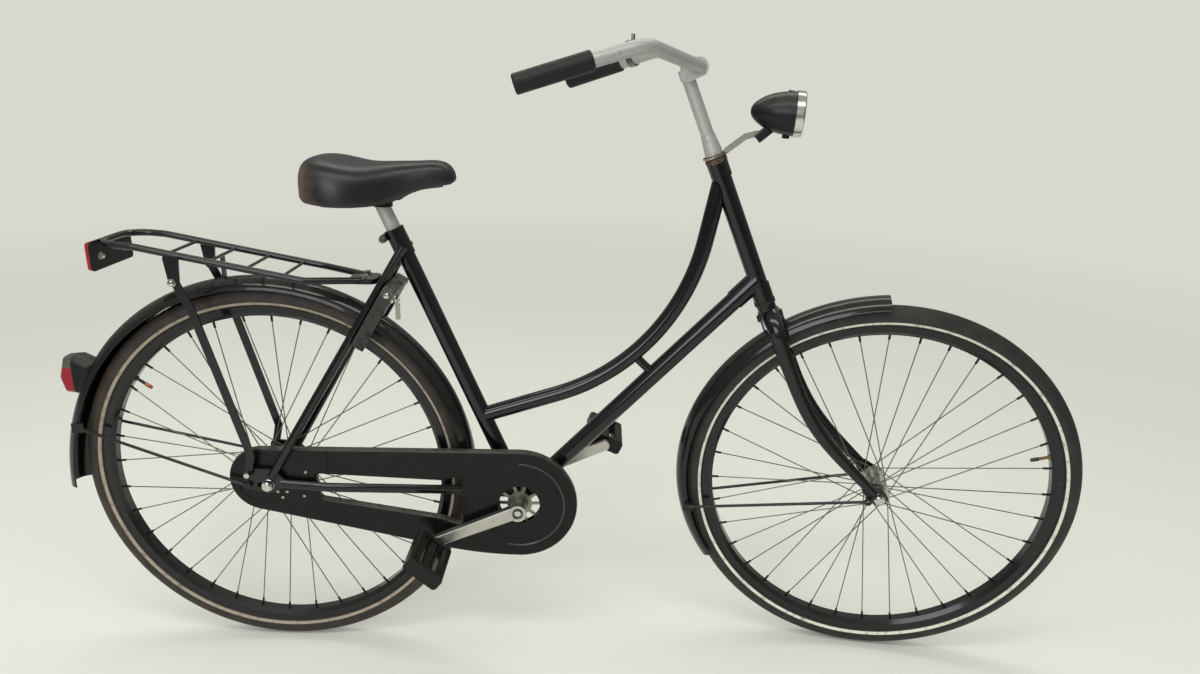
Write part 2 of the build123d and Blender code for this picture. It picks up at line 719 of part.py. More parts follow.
# ---- ring lock -------------------------------------------------------------------------------
lock_up = Vector(188, 0, 315).normalized()
lock_front = left_dir.cross(lock_up)
lock_middle = at(191.1, 684.4) + lock_front * 19
lock_half = 60
lock_inner = 40
lock_top = 62
lock_arm = 67
lock_deep = 22
lock_plane = Plane(origin=lock_middle, x_dir=left_dir, z_dir=lock_front)
with BuildPart() as ring_lock:
    with BuildSketch(lock_plane.offset(-lock_deep / 2)):
        with Locations((0, (lock_top - lock_arm) / 2)):
            RectangleRounded(2 * lock_half, lock_top + lock_arm, 16)
        Circle(lock_inner, mode=Mode.SUBTRACT)
        Rectangle(2 * lock_inner, 2 * lock_arm, align=(Align.CENTER, Align.MAX), mode=Mode.SUBTRACT)
    extrude(amount=lock_deep)
    add(seat_stays.part, mode=Mode.SUBTRACT)
save(ring_lock.part, "ring_lock")

key_root = lock_middle + lock_up * 46 - left_dir * 46 + lock_front * lock_deep / 2
with BuildPart() as lock_key:
    rod(key_root, key_root + lock_front * 9, 3.5)
    with BuildSketch(Plane(origin=key_root + lock_front * 9, x_dir=left_dir, z_dir=lock_front)):
        RectangleRounded(5, 18, 2)
    extrude(amount=2.5)
    with BuildSketch(upright(key_root.Y + 1.5)):
        with Locations((key_root.X + 8, key_root.Z - 22)):
            RectangleRounded(8, 30, 3)
    extrude(amount=3)
save(lock_key.part, "lock_key")

# ---- chain case ------------------------------------------------------------------------------
case_left = -36.5          # inner face
case_split = -44.5
case_right = -52.5         # outer face
case_wall = 2
case_edge_r = 4
disc_r = 107
crank_hole_r = 38
case_window = [(83, 375), (317, 366), (350, 377), (350, 276), (309, 291), (89, 326)]
bracket_spot = (bracket.X, bracket.Z)


def case_profile(left, inset, windowed=True):
    """Chain case outline and window from the side, drawn in towards the middle of the material."""
    with BuildSketch(upright(left)) as window:
        with BuildLine():
            Polyline(*[spot(*corner) for corner in case_window], close=True)
        make_face()
        fillet(vertices(), 8)
        if inset:
            offset(amount=inset)
    with BuildSketch(upright(left)) as profile:
        with BuildLine():
            Line(spot(-13, 424), spot(456, 427))
            ThreePointArc(spot(456, 427), spot(563, 320), spot(456, 213))
            lower = TangentArc(spot(456, 213), spot(288, 234), tangent=(-1, 0))
            Line(lower @ 1, spot(-24, 300))
            ThreePointArc(spot(-24, 300), spot(-76, 361), spot(-13, 424))
        make_face()
        if inset:
            offset(amount=-inset)
        if windowed:
            add(window.sketch_local, mode=Mode.SUBTRACT)
    return profile.sketch


def case_hole(spot_here, radius, left, deep):
    with BuildSketch(upright(left)) as hole:
        with Locations(spot_here):
            Circle(radius)
    extrude(hole.sketch, amount=deep, mode=Mode.SUBTRACT)


with BuildPart() as chain_case_outer:
    extrude(case_profile(case_split, 0), amount=case_split - case_right)
    fillet(faces().sort_by(Axis.Y)[0].edges(), case_edge_r)
    extrude(case_profile(case_split, case_wall), amount=case_split - case_right - case_wall, mode=Mode.SUBTRACT)
    # pressed lines: one follows the outline, one rings the chainwheel
    ridge = case_profile(case_right, 14.5, False) - case_profile(case_right, 16.5, False)
    extrude(ridge, amount=0.8)
    with BuildSketch(upright(case_right)):
        with Locations(bracket_spot):
            Circle(74)
            Circle(71, mode=Mode.SUBTRACT)
    extrude(amount=0.8)
    extrude(case_profile(case_right + 1, -9) - case_profile(case_right + 1, 0), amount=8, mode=Mode.SUBTRACT)
    case_hole(bracket_spot, crank_hole_r, case_left, 40)
    case_hole(axle_spot, 10, case_left, 40)
save(chain_case_outer.part, "chain_case_outer")

with BuildPart() as chain_case_inner:
    extrude(case_profile(case_left, 0), amount=case_left - case_split)
    fillet(faces().sort_by(Axis.Y)[-1].edges(), case_edge_r)
    extrude(case_profile(case_left - case_wall, case_wall), amount=case_left - case_split - case_wall,
            mode=Mode.SUBTRACT)
    case_hole(bracket_spot, crank_hole_r, case_left, 40)
    case_hole(axle_spot, 24, case_left, 40)
    lug = seat_foot + seat_up * 88
    rod(lug - left_dir * 10, lug + left_dir * case_left, 5)
    rod(seat_foot, seat_top, seat_tube_r, mode=Mode.SUBTRACT)
save(chain_case_inner.part, "chain_case_inner")

with BuildPart() as chain_case_cover:
    with BuildSketch(upright(case_right)):
        with BuildLine():
            Polyline(spot(-90, 365), spot(106, 365), spot(106, 440), spot(-90, 440), close=True)
        make_face()
        fillet(vertices().group_by(Axis.X)[-1].group_by(Axis.Y)[0], 10)
    extrude(amount=1.5)
    extrude(case_profile(case_right + 3, 5), amount=8, mode=Mode.INTERSECT)
    case_hole(axle_spot, 10, case_left, 40)
    add(chain_case_outer.part, mode=Mode.SUBTRACT)
save(chain_case_cover.part, "chain_case_cover")

with BuildPart() as brake_arm:
    with BuildSketch(upright(brake_side_left + 4)):
        with Locations(axle_spot):
            Circle(22)
        with Locations(spot(168, 352)):
            Circle(7)
        make_hull()
        with Locations(axle_spot):
            Circle(rear_axle_r + run_gap, mode=Mode.SUBTRACT)
    extrude(amount=3)
    stay_here = at(168, 350.7, 54)
    stay_run = (at(110, 354, rear_end_left) - at(350, 338, 30.5)).normalized()
    rod(stay_here - stay_run * 7, stay_here + stay_run * 7, 12.5)
    add(chain_stays.part, mode=Mode.SUBTRACT)
save(brake_arm.part, "brake_arm")

# ---- fork ------------------------------------------------------------------------------------
turn_gap = 0.3             # between end faces that turn past each other
# ahead of the axis, up the axis, to the side, length and width of the oval
blade_stations = [(6, -50, 37.5, 28, 19), (5.5, -124, 39, 26, 18.5), (8, -190, 40.5, 24.5, 17.5),
                  (19, -257, 42, 24, 17), (40.5, -320, 43.5, 22, 16), (62, -370, 45, 19.5, 15),
                  (78, -405, 46, 17, 14)]
# the same for the crown from its middle out, but with half sizes, and the way it runs there
crown_stations = [(2, -27, 0, 17, 14, 1, 0), (4, -36, 23, 16, 12, 0.8, -0.6),
                  (6, -66, 37.5, 15.8, 11.5, 0.02, -1)]

with BuildPart() as fork_blades:
    for side in (-1, 1):
        ribs = []
        for number, (ahead, up, left, long, wide) in enumerate(blade_stations):
            before = blade_stations[max(number - 1, 0)]
            after = blade_stations[min(number + 1, len(blade_stations) - 1)]
            run = on_fork(after[0], after[1]) - on_fork(before[0], before[1])
            centre = on_fork(ahead, up, side * left)
            with BuildSketch(Plane(origin=centre, x_dir=fork.y_dir, z_dir=run)) as rib:
                Ellipse(wide / 2, long / 2)
            ribs.append(rib.sketch)
        loft(ribs)
        end_plane = Plane(origin=on_fork(rake, -fork_drop, side * fork_end_left + fork_end_thick / 2),
                          x_dir=fork.x_dir, z_dir=-fork.y_dir)
        with BuildSketch(end_plane):
            Circle(15)
            with Locations((-13, 22)):
                Circle(12)
            make_hull()
            Circle(front_axle_r + run_gap, mode=Mode.SUBTRACT)
        extrude(amount=fork_end_thick)
    add(front_axle_set, mode=Mode.SUBTRACT)
save(fork_blades.part, "fork_blades")

with BuildPart() as fork_crown:
    rod(on_fork(0, -30), on_fork(0, -head_cup_lip - turn_gap), cup_lip_r - 2)
    ribs = []
    for side, stations in ((-1, crown_stations[:0:-1]), (1, crown_stations)):
        for ahead, up, left, long, wide, run_left, run_up in stations:
            run = fork.from_local_coords(Vector(0, run_left, side * run_up)) - head_bottom
            centre = on_fork(ahead, up, side * left)
            with BuildSketch(Plane(origin=centre, x_dir=fork.x_dir, z_dir=run)) as rib:
                Ellipse(long, wide)
            ribs.append(rib.sketch)
    loft(ribs)
    rod(on_fork(0, -30), on_fork(0, head_length + head_cup_lip + 7), steerer_r)
    rod(on_fork(0, 220), on_fork(0, head_length + 30), bar_r + run_gap, mode=Mode.SUBTRACT)
    rod(on_fork(-40, -32), on_fork(40, -32), 3.1, mode=Mode.SUBTRACT)
    add(fork_blades.part, mode=Mode.SUBTRACT)
save(fork_crown.part, "fork_crown")

# the bolt through the crown also holds a strap down to the crest of the fender
with BuildPart() as fender_bolt:
    rod(on_fork(-20, -32), on_fork(23, -32), 3)
    hex_rod(on_fork(-15.5, -32), on_fork(-22, -32), 7)
    hex_rod(on_fork(19.5, -32), on_fork(24, -32), 7)
    with BuildSketch(Plane(origin=on_fork(-15.5, -32), x_dir=fork.y_dir, z_dir=-fork.x_dir)):
        with Locations((0, 9)):
            Rectangle(14, 40)
    extrude(amount=2.5)
    add(front_fender_stays.part)
    add(front_fender_body, mode=Mode.SUBTRACT)
    add(fork_crown.part, mode=Mode.SUBTRACT)
save(fender_bolt.part, "front_fender_stays")

locknut_up = head_length + head_cup_lip + turn_gap
locknut_top = locknut_up + 7
with BuildPart() as headset_locknuts:
    rod(on_fork(0, locknut_up), on_fork(0, locknut_up + 3), cup_lip_r - 1)
    hex_rod(on_fork(0, locknut_up + 3), on_fork(0, locknut_top), cup_lip_r)
    rod(on_fork(0, locknut_up), on_fork(0, locknut_top), steerer_r, mode=Mode.SUBTRACT)
save(headset_locknuts.part, "headset_locknuts")

# ---- stem, handlebar, grips and bell ---------------------------------------------------------
bar_middle = on_bars(23.2, 413.5)
bar_up = head_up.rotate(Axis(bar_middle, bars.x_dir), bar_tilt)
bar_plane = Plane(origin=on_bars(0, 413.5), x_dir=bars.x_dir, z_dir=bar_up)
# ahead of the steering axis, above the clamp and to the side: clamp edge, rise, corner and end
bar_stations = [(23.2, 0, 22), (-36.2, 54.3, 174.7), (-111.9, 60.4, 217.3), (-221.6, 68.5, 248.9)]
bar_bends = [30, 60, 40]
bar_path = [bar_plane.from_local_coords(Vector(ahead, -left, up))
            for ahead, up, left in reversed(bar_stations)]
bar_path += [bar_plane.from_local_coords(Vector(ahead, left, up))
             for ahead, up, left in bar_stations]
with BuildPart() as handlebar:
    bent_rod(bar_path, bar_r, bar_bends[1:][::-1] + [bar_bends[0], bar_bends[0]] + bar_bends[1:])
save(handlebar.part, "handlebar")

clamp_r = 15.5
stem_collar_up = 404
with BuildPart() as stem:
    rod(on_bars(0, 220), on_bars(0, stem_collar_up), bar_r)
    with BuildSketch(Plane(origin=head_bottom, x_dir=bars.x_dir, z_dir=-bars.y_dir)):
        with BuildLine():
            Polyline((0, locknut_top), (15.5, locknut_top), (14.5, locknut_top + 10), (12, locknut_top + 34),
                     (0, locknut_top + 34), close=True)
        make_face()
    revolve(axis=Axis(head_bottom, head_up))
    with BuildSketch(Plane(origin=on_bars(0, 0, 16), x_dir=bars.x_dir, z_dir=-bars.y_dir)):
        with Locations((23.2, 413.5)):
            Circle(clamp_r)
        with Locations((0, stem_collar_up + 4)):
            Circle(11)
        make_hull()
    extrude(amount=32)
    rod(on_bars(0, stem_collar_up - 3), on_bars(0, stem_collar_up + 14), 12.8)
    hex_rod(on_bars(0, stem_collar_up + 14), on_bars(0, stem_collar_up + 20), 7)
    add(handlebar.part, mode=Mode.SUBTRACT)
save(stem.part, "stem")

grip_r = 15
with BuildPart() as grips:
    for end, corner in ((bar_path[0], bar_path[1]), (bar_path[-1], bar_path[-2])):
        run = (end - corner).normalized()
        rod(corner, end + run * 2.5, grip_r)
    fillet(edges().filter_by(GeomType.CIRCLE), 3)
    add(handlebar.part, mode=Mode.SUBTRACT)
save(grips.part, "grips")

bell_foot = between(bar_path[-3], bar_path[-2], 0.7)
bell_run = (bar_path[-2] - bar_path[-3]).normalized()
bell_up = Vector(0, 0, 1)
with BuildPart() as bell:
    rod(bell_foot - bell_run * 6, bell_foot + bell_run * 6, bar_r + 3)
    rod(bell_foot, bell_foot + bell_up * 20, 6)
    rod(bell_foot + bell_up * 19, bell_foot + bell_up * 34, 17)
    fillet(edges().filter_by(GeomType.CIRCLE).sort_by(Axis.Z)[-1], 10)
    rod(bell_foot + bell_up * 33, bell_foot + bell_up * 45, 3.5)
    add(handlebar.part, mode=Mode.SUBTRACT)
save(bell.part, "bell")

# ---- headlamp --------------------------------------------------------------------------------
lamp_tip = on_fork(78.9, 318.6)
lamp_run = (on_fork(156.8, 281.9) - lamp_tip).normalized()
lamp_r = 36
lamp_length = 86
lamp_rim_start = 72
lamp_plane = Plane(origin=lamp_tip, x_dir=lamp_run, z_dir=-fork.y_dir)
lamp_curve = [(0, 0), (2, 8), (12, 18.5), (28, 27.5), (50, 33.6), (lamp_rim_start, lamp_r)]
with BuildPart() as headlamp_shell:
    with BuildSketch(lamp_plane):
        with BuildLine():
            Spline(*lamp_curve)
            Line(lamp_curve[-1], (lamp_rim_start, 0))
            Line((lamp_rim_start, 0), (0, 0))
        make_face()
    revolve(axis=Axis(lamp_tip, lamp_run))
    switch = lamp_tip + lamp_run * 62 + lamp_run.cross(fork.y_dir) * -34
    rod(switch, switch + lamp_run.cross(fork.y_dir) * -6, 6)
save(headlamp_shell.part, "headlamp_shell")

with BuildPart() as headlamp_rim:
    rod(lamp_tip + lamp_run * lamp_rim_start, lamp_tip + lamp_run * lamp_length, lamp_r + 1)
    fillet(edges().filter_by(GeomType.CIRCLE).sort_by(lambda edge: (edge.arc_center - lamp_tip).length)[-1], 3)
    rod(lamp_tip + lamp_run * lamp_rim_start, lamp_tip + lamp_run * (lamp_length + 1), lamp_r - 4,
        mode=Mode.SUBTRACT)
save(headlamp_rim.part, "headlamp_rim")

with BuildPart() as headlamp_lens:
    rod(lamp_tip + lamp_run * lamp_rim_start, lamp_tip + lamp_run * (lamp_length - 1), lamp_r - 4)
save(headlamp_lens.part, "headlamp_lens")

strut_path = [on_fork(14, locknut_up + 4), on_fork(58, locknut_up + 17), on_fork(78, 279)]
with BuildPart() as lamp_bracket:
    for start, end in zip(strut_path, strut_path[1:]):
        with BuildSketch(Plane(origin=on_fork(0, 0, 5), x_dir=fork.x_dir, z_dir=-fork.y_dir)):
            for point in (start, end):
                here = fork.to_local_coords(point)
                with Locations((here.X, here.Z)):
                    Circle(4.5)
            make_hull()
        extrude(amount=10)
    rod(on_fork(0, locknut_up + 3), on_fork(0, locknut_up + 6), cup_lip_r + 2)
    rod(on_fork(0, locknut_up - 20), on_fork(0, locknut_up + 30), cup_lip_r, mode=Mode.SUBTRACT)
save(lamp_bracket.part, "lamp_bracket")

with BuildPart() as lamp_clamp:
    clamp_foot = on_fork(74, 271)
    clamp_run = (on_fork(112, 284) - clamp_foot).normalized()
    with BuildSketch(Plane(origin=clamp_foot, x_dir=fork.y_dir, z_dir=clamp_run)) as block:
        RectangleRounded(18, 15, 3)
    extrude(block.sketch, amount=40, dir=clamp_run)
    add(lamp_bracket.part, mode=Mode.SUBTRACT)
    add(headlamp_shell.part, mode=Mode.SUBTRACT)
save(lamp_clamp.part, "lamp_clamp")

# ---- cranks and pedals -----------------------------------------------------------------------
crank_length = 170
crank_fall = 23.2          # right crank points rearward, this far below level
crank_dir = Vector(-cos(radians(crank_fall)), 0, -sin(radians(crank_fall)))
crank_inner = 68
crank_outer = 81
boss_outer = 86
press_gap = 0.02
pedal_spindle_r = 6
pedal_inner = 86
pedal_outer = 181
pedal_half_long = 36
pedal_half_tall = 14
wheel_left = -45


def crank(side):
    """One crank arm with its boss; side is 1 on the left, -1 on the right."""
    eye = bracket - crank_dir * crank_length * side
    with BuildPart() as arm:
        with BuildSketch(upright(crank_outer if side > 0 else -crank_inner)) as outline:
            with Locations(bracket_spot):
                Circle(13)
            with Locations((eye.X, eye.Z)):
                Circle(10)
            make_hull()
        extrude(outline.sketch, amount=crank_outer - crank_inner)
        fillet(faces().sort_by(Axis.Y)[0 if side < 0 else -1].edges(), 3)
        rod(bracket + left_dir * side * (crank_inner - 6), bracket + left_dir * side * boss_outer, 16)
        rod(bracket + left_dir * side * (boss_outer - 2), bracket + left_dir * side * boss_outer, 11,
            mode=Mode.SUBTRACT)
        rod(bracket, bracket + left_dir * side * (crank_outer - 1), spindle_r + press_gap, mode=Mode.SUBTRACT)
        rod(eye, eye + left_dir * side * 2 * boss_outer, pedal_spindle_r + press_gap, mode=Mode.SUBTRACT)
    return arm.part


save(crank(-1), "crank_right")
save(crank(1), "crank_left")

spider_arms = 5
with BuildPart() as chainwheel:
    with BuildSketch(upright(wheel_left + 1)):
        with Locations(bracket_spot):
            Circle(91)
            Circle(80, mode=Mode.SUBTRACT)
            Circle(23)
            for number in range(spider_arms):
                for turn in (-16, 16):
                    angle = number * 360 / spider_arms + turn + 90
                    with Locations(Location((0, 0, 0), (0, 0, angle))):
                        with Locations((52, 0)):
                            Rectangle(66, 5.5)
            Circle(spindle_r + press_gap, mode=Mode.SUBTRACT)
    extrude(amount=2)
    rod(bracket + left_dir * (wheel_left - 1), bracket - left_dir * (crank_inner - 6), 16)
    rod(bracket, bracket - left_dir * crank_outer, spindle_r + press_gap, mode=Mode.SUBTRACT)
save(chainwheel.part, "chainwheel")

with BuildPart() as spindles:
    rod(bracket - left_dir * (crank_outer - 1), bracket + left_dir * (crank_outer - 1), spindle_r)
    for side in (-1, 1):
        eye = bracket - crank_dir * crank_length * side
        rod(eye + left_dir * side * crank_inner, eye + left_dir * side * (pedal_outer - 3), pedal_spindle_r)
save(spindles.part, "crank_spindles")


def pedal(side, pitch):
    """Block pedal on its spindle, front end pitched down."""
    eye = bracket - crank_dir * crank_length * side
    ahead = Vector(cos(radians(pitch)), 0, -sin(radians(pitch)))
    inner = Plane(origin=eye + left_dir * side * pedal_inner, x_dir=ahead, z_dir=left_dir * side)
    wide = pedal_outer - pedal_inner
    with BuildPart() as block:
        for start in (0, wide - 7):
            with BuildSketch(inner.offset(start)) as plate:
                RectangleRounded(2 * pedal_half_long, 2 * pedal_half_tall, 9)
            extrude(plate.sketch, amount=7)
        with BuildSketch(inner) as bars_across:
            with Locations((pedal_half_long - 9, 0), (9 - pedal_half_long, 0)):
                RectangleRounded(18, 2 * pedal_half_tall, 7)
            Circle(11)
        extrude(bars_across.sketch, amount=wide)
        with BuildSketch(inner) as bore:
            Circle(pedal_spindle_r + run_gap)
        extrude(bore.sketch, amount=wide - 2, mode=Mode.SUBTRACT)
    return block.part


save(pedal(-1, 40), "pedal_right")
save(pedal(1, 24), "pedal_left")
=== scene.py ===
"""Step-through city bicycle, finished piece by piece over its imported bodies.

Metres, +X ahead, +Y left, +Z up.
"""
import json
from math import cos, pi, radians, sin, tau

import bmesh
import bpy
from mathutils import Matrix, Vector


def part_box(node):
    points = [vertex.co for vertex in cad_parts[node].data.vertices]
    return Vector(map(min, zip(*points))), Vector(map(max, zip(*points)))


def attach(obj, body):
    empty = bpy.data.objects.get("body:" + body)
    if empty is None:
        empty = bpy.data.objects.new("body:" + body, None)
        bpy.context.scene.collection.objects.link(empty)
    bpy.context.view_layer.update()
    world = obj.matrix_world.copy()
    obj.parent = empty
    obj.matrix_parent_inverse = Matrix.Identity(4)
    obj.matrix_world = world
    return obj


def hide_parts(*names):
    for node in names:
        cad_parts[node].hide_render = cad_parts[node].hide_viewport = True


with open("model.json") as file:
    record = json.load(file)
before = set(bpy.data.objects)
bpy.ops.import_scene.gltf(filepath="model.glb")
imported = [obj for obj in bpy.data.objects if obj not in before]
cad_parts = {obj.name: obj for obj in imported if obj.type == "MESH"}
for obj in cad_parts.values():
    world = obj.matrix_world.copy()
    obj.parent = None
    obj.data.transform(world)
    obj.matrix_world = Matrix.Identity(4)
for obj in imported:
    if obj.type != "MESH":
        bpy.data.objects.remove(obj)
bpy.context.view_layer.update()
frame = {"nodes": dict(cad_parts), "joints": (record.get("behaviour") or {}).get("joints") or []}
nodes = frame["nodes"]
joints = {joint["name"]: joint for joint in frame["joints"]}
mm = 0.001

# ---- Stand and light -------------------------------------------------------------------------
# The bicycle stands on a plain pale floor in soft daylight from overhead tubes and a wide window.
# Tyre bottoms touch the floor; floor and sky share one tone, so no horizon shows.
floor_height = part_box("rear_tyre")[0][2]
floor_tone = "#DCDCD4"
sky_tone = "#D8D8CF"
scene = bpy.context.scene


def linear(code):
    """sRGB hex colour as the linear values that a shader takes."""
    parts = [int(code[i:i + 2], 16) / 255 for i in (1, 3, 5)]
    return [part / 12.92 if part <= 0.04045 else ((part + 0.055) / 1.055) ** 2.4 for part in parts] + [1]


def add_node(owner, kind, inputs=None, **settings):
    """Adds a shader node; inputs go by socket name or number and hold a value or another node's socket."""
    node = owner.node_tree.nodes.new("ShaderNode" + kind)
    for key, value in settings.items():
        setattr(node, key, value)
    for key, value in (inputs or {}).items():
        if isinstance(value, bpy.types.NodeSocket):
            owner.node_tree.links.new(value, node.inputs[key])
        else:
            node.inputs[key].default_value = value
    return node


def blank_material(name):
    material = bpy.data.materials.new(name)
    material.use_nodes = True
    material.node_tree.nodes.clear()
    return material


# the floor fades into the sky between these distances from its middle
fade_start = 2.2
fade_end = 5.5
floor_paint = blank_material("pale_floor_paint")
spread = add_node(floor_paint, "TexCoord").outputs["Object"]
distance = add_node(floor_paint, "VectorMath", {0: spread}, operation="LENGTH").outputs["Value"]
fade = add_node(floor_paint, "MapRange", {"Value": distance, "From Min": fade_start,
                                          "From Max": fade_end}).outputs["Result"]
matte = add_node(floor_paint, "BsdfPrincipled", {"Base Color": linear(floor_tone), "Roughness": 0.75,
                                                "Specular IOR Level": 0.2})
clear = add_node(floor_paint, "BsdfTransparent")
blend = add_node(floor_paint, "MixShader", {0: fade, 1: matte.outputs[0], 2: clear.outputs[0]})
add_node(floor_paint, "OutputMaterial", {"Surface": blend.outputs[0]})

bm = bmesh.new()
bmesh.ops.create_circle(bm, cap_ends=True, segments=96, radius=6)
bmesh.ops.translate(bm, vec=(0.2, 0, floor_height), verts=bm.verts)
mesh = bpy.data.meshes.new("floor")
bm.to_mesh(mesh)
bm.free()
mesh.materials.append(floor_paint)
floor = bpy.data.objects.new("floor", mesh)
scene.collection.objects.link(floor)

world = bpy.data.worlds.new("studio")
world.use_nodes = True
world.node_tree.nodes.clear()
scene.world = world
path = add_node(world, "LightPath").outputs
seen = add_node(world, "Math", {0: path["Is Camera Ray"], 1: path["Is Transmission Ray"]},
                operation="MAXIMUM")
sky = add_node(world, "Background", {"Color": linear(sky_tone), "Strength": 1})
ambient = add_node(world, "Background", {"Color": linear("#E6E8E4"), "Strength": 0.98})
# what the gloss mirrors: a bright ceiling, grey walls and a darker floor
incoming = add_node(world, "NewGeometry").outputs["Incoming"]
downward = add_node(world, "SeparateXYZ", {0: incoming}).outputs["Z"]
room = add_node(world, "MapRange", {"Value": downward, "From Min": 0.25, "From Max": -0.75, "To Min": 0.16,
                                    "To Max": 0.75}).outputs["Result"]
shine = add_node(world, "Background", {"Color": linear("#C9CAC4"), "Strength": room})
diffuse_or_gloss = add_node(world, "MixShader", {0: path["Is Glossy Ray"], 1: ambient.outputs[0],
                                                2: shine.outputs[0]})
whole_sky = add_node(world, "MixShader", {0: seen.outputs[0], 1: diffuse_or_gloss.outputs[0],
                                         2: sky.outputs[0]})
add_node(world, "OutputWorld", {"Surface": whole_sky.outputs[0]})


def area_light(name, place, target, width, height, watts, tone):
    light = bpy.data.lights.new(name, "AREA")
    light.shape = "RECTANGLE"
    light.size, light.size_y = width, height
    light.energy = watts
    light.color = linear(tone)[:3]
    lamp = bpy.data.objects.new(name, light)
    lamp.location = place
    lamp.rotation_euler = (Vector(target) - Vector(place)).to_track_quat("-Z", "Y").to_euler()
    scene.collection.objects.link(lamp)


area_light("ceiling_tube_near", (0.1, -1.1, 1.5), (0.1, 0, -0.5), 2.6, 0.35, 17, "#FFFDF6")
area_light("ceiling_tube_far", (0.4, 0.9, 1.6), (0.2, 0, -0.5), 2.6, 0.35, 12, "#FFFDF6")
area_light("window", (-0.8, -3.2, 0.9), (0.1, 0, -0.5), 1.8, 1.6, 42, "#F4F7FF")

# The camera stands off the right side at bar height and looks down a little, as a person would hold it.
eye = Vector((0.40247, -1.44533, 0.15377))
yaw, pitch, roll = 0.0043, 0.3065, 0.0225
forward = Vector((sin(yaw) * cos(pitch), cos(yaw) * cos(pitch), -sin(pitch)))
level = Vector((cos(yaw), -sin(yaw), 0))
overhead = level.cross(forward)
across = level * cos(roll) + overhead * sin(roll)
upward = overhead * cos(roll) - level * sin(roll)


def place_of(origin, x, y, z):
    """Matrix of a piece's own axes at a point."""
    return Matrix.Translation(origin) @ Matrix((x, y, z)).transposed().to_4x4()


view = bpy.data.cameras.new("side_view")
view.sensor_width = 36
view.lens = 25.26
camera = bpy.data.objects.new("side_view", view)
camera.matrix_world = place_of(eye, across, upward, -forward)
scene.collection.objects.link(camera)
scene.camera = camera

scene.view_settings.view_transform = "Standard"

# ---- Frame tubes -----------------------------------------------------------------------------
# Mild steel tubes brazed into lugs, dipped in black stove enamel that has kept its gloss.
# Years outdoors have left dust on the upper faces and small chips down to grey primer.
def weathered(name, clean, worn, worn_share, patch_mm, roughness, metallic=0, grain_mm=0.6,
              grain_depth=0.02, coat=0, coat_roughness=0.05, gleam=0.5, dust=0.12):
    """A finish in two tones: worn patches on a clean base, a fine grain, and dust on what faces up."""
    material = blank_material(name)
    place = add_node(material, "TexCoord").outputs["Object"]
    cloud = add_node(material, "TexNoise", {"Vector": place, "Scale": 1 / (patch_mm * mm), "Detail": 6,
                                            "Roughness": 0.62}).outputs["Fac"]
    worn_part = add_node(material, "MapRange", {"Value": cloud, "From Min": 0.72 - worn_share * 0.45,
                                                "From Max": 0.78 - worn_share * 0.35}).outputs["Result"]
    tone = add_node(material, "Mix", {0: worn_part, 6: linear(clean), 7: linear(worn)},
                    data_type="RGBA").outputs[2]
    normal = add_node(material, "NewGeometry").outputs["Normal"]
    upward_share = add_node(material, "SeparateXYZ", {0: normal}).outputs["Z"]
    settled = add_node(material, "TexNoise", {"Vector": place, "Scale": 1 / (14 * mm),
                                              "Detail": 5}).outputs["Fac"]
    lying = add_node(material, "Math", {0: upward_share, 1: settled}, operation="MULTIPLY",
                     use_clamp=True).outputs[0]
    dusty = add_node(material, "Math", {0: lying, 1: dust * 2}, operation="MULTIPLY",
                     use_clamp=True).outputs[0]
    colour = add_node(material, "Mix", {0: dusty, 6: tone, 7: linear("#8B867A")},
                      data_type="RGBA").outputs[2]
    rough = add_node(material, "MapRange", {"Value": cloud, "To Min": roughness * 0.75,
                                            "To Max": roughness * 1.35}).outputs["Result"]
    dull = add_node(material, "Math", {0: worn_part, 1: 0.35, 2: rough}, operation="MULTIPLY_ADD",
                    use_clamp=True).outputs[0]
    grain = add_node(material, "TexNoise", {"Vector": place, "Scale": 1 / (grain_mm * mm),
                                            "Detail": 3}).outputs["Fac"]
    bump = add_node(material, "Bump", {"Height": grain, "Strength": 0.5, "Distance": grain_depth * mm})
    shader = add_node(material, "BsdfPrincipled", {
        "Base Color": colour, "Roughness": dull, "Metallic": metallic, "Specular IOR Level": gleam,
        "Coat Weight": coat, "Coat Roughness": coat_roughness, "Normal": bump.outputs[0]})
    add_node(material, "OutputMaterial", {"Surface": shader.outputs[0]})
    return material


def dress(material, *names):
    for name in names:
        for material_slot in nodes[name].material_slots:
            material_slot.material = material


# Stove enamel over steel: a deep gloss skin, faintly rippled, with rare chips.
frame_enamel = weathered("black_stove_enamel", "#090A0C", "#34332F", 0.02, 9, 0.16, grain_mm=2.5,
                         grain_depth=0.03, coat=0.55, coat_roughness=0.04, gleam=0.2, dust=0.03)
dress(frame_enamel, "head_tube", "down_tube", "seat_tube", "bottom_bracket_shell", "chain_stays",
      "seat_stays", "fork_blades", "fork_crown", "top_tube")


def shape_to_piece(name, bm, material, body, crease=35):
    """Turns a finished bmesh into a piece that rides on a body; edges sharper than crease stay crisp."""
    mesh = bpy.data.meshes.new(name)
    bm.to_mesh(mesh)
    bm.free()
    mesh.shade_smooth()
    mesh.set_sharp_from_angle(angle=radians(crease))
    mesh.materials.append(material)
    piece = bpy.data.objects.new(name, mesh)
    scene.collection.objects.link(piece)
    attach(piece, body)
    return piece


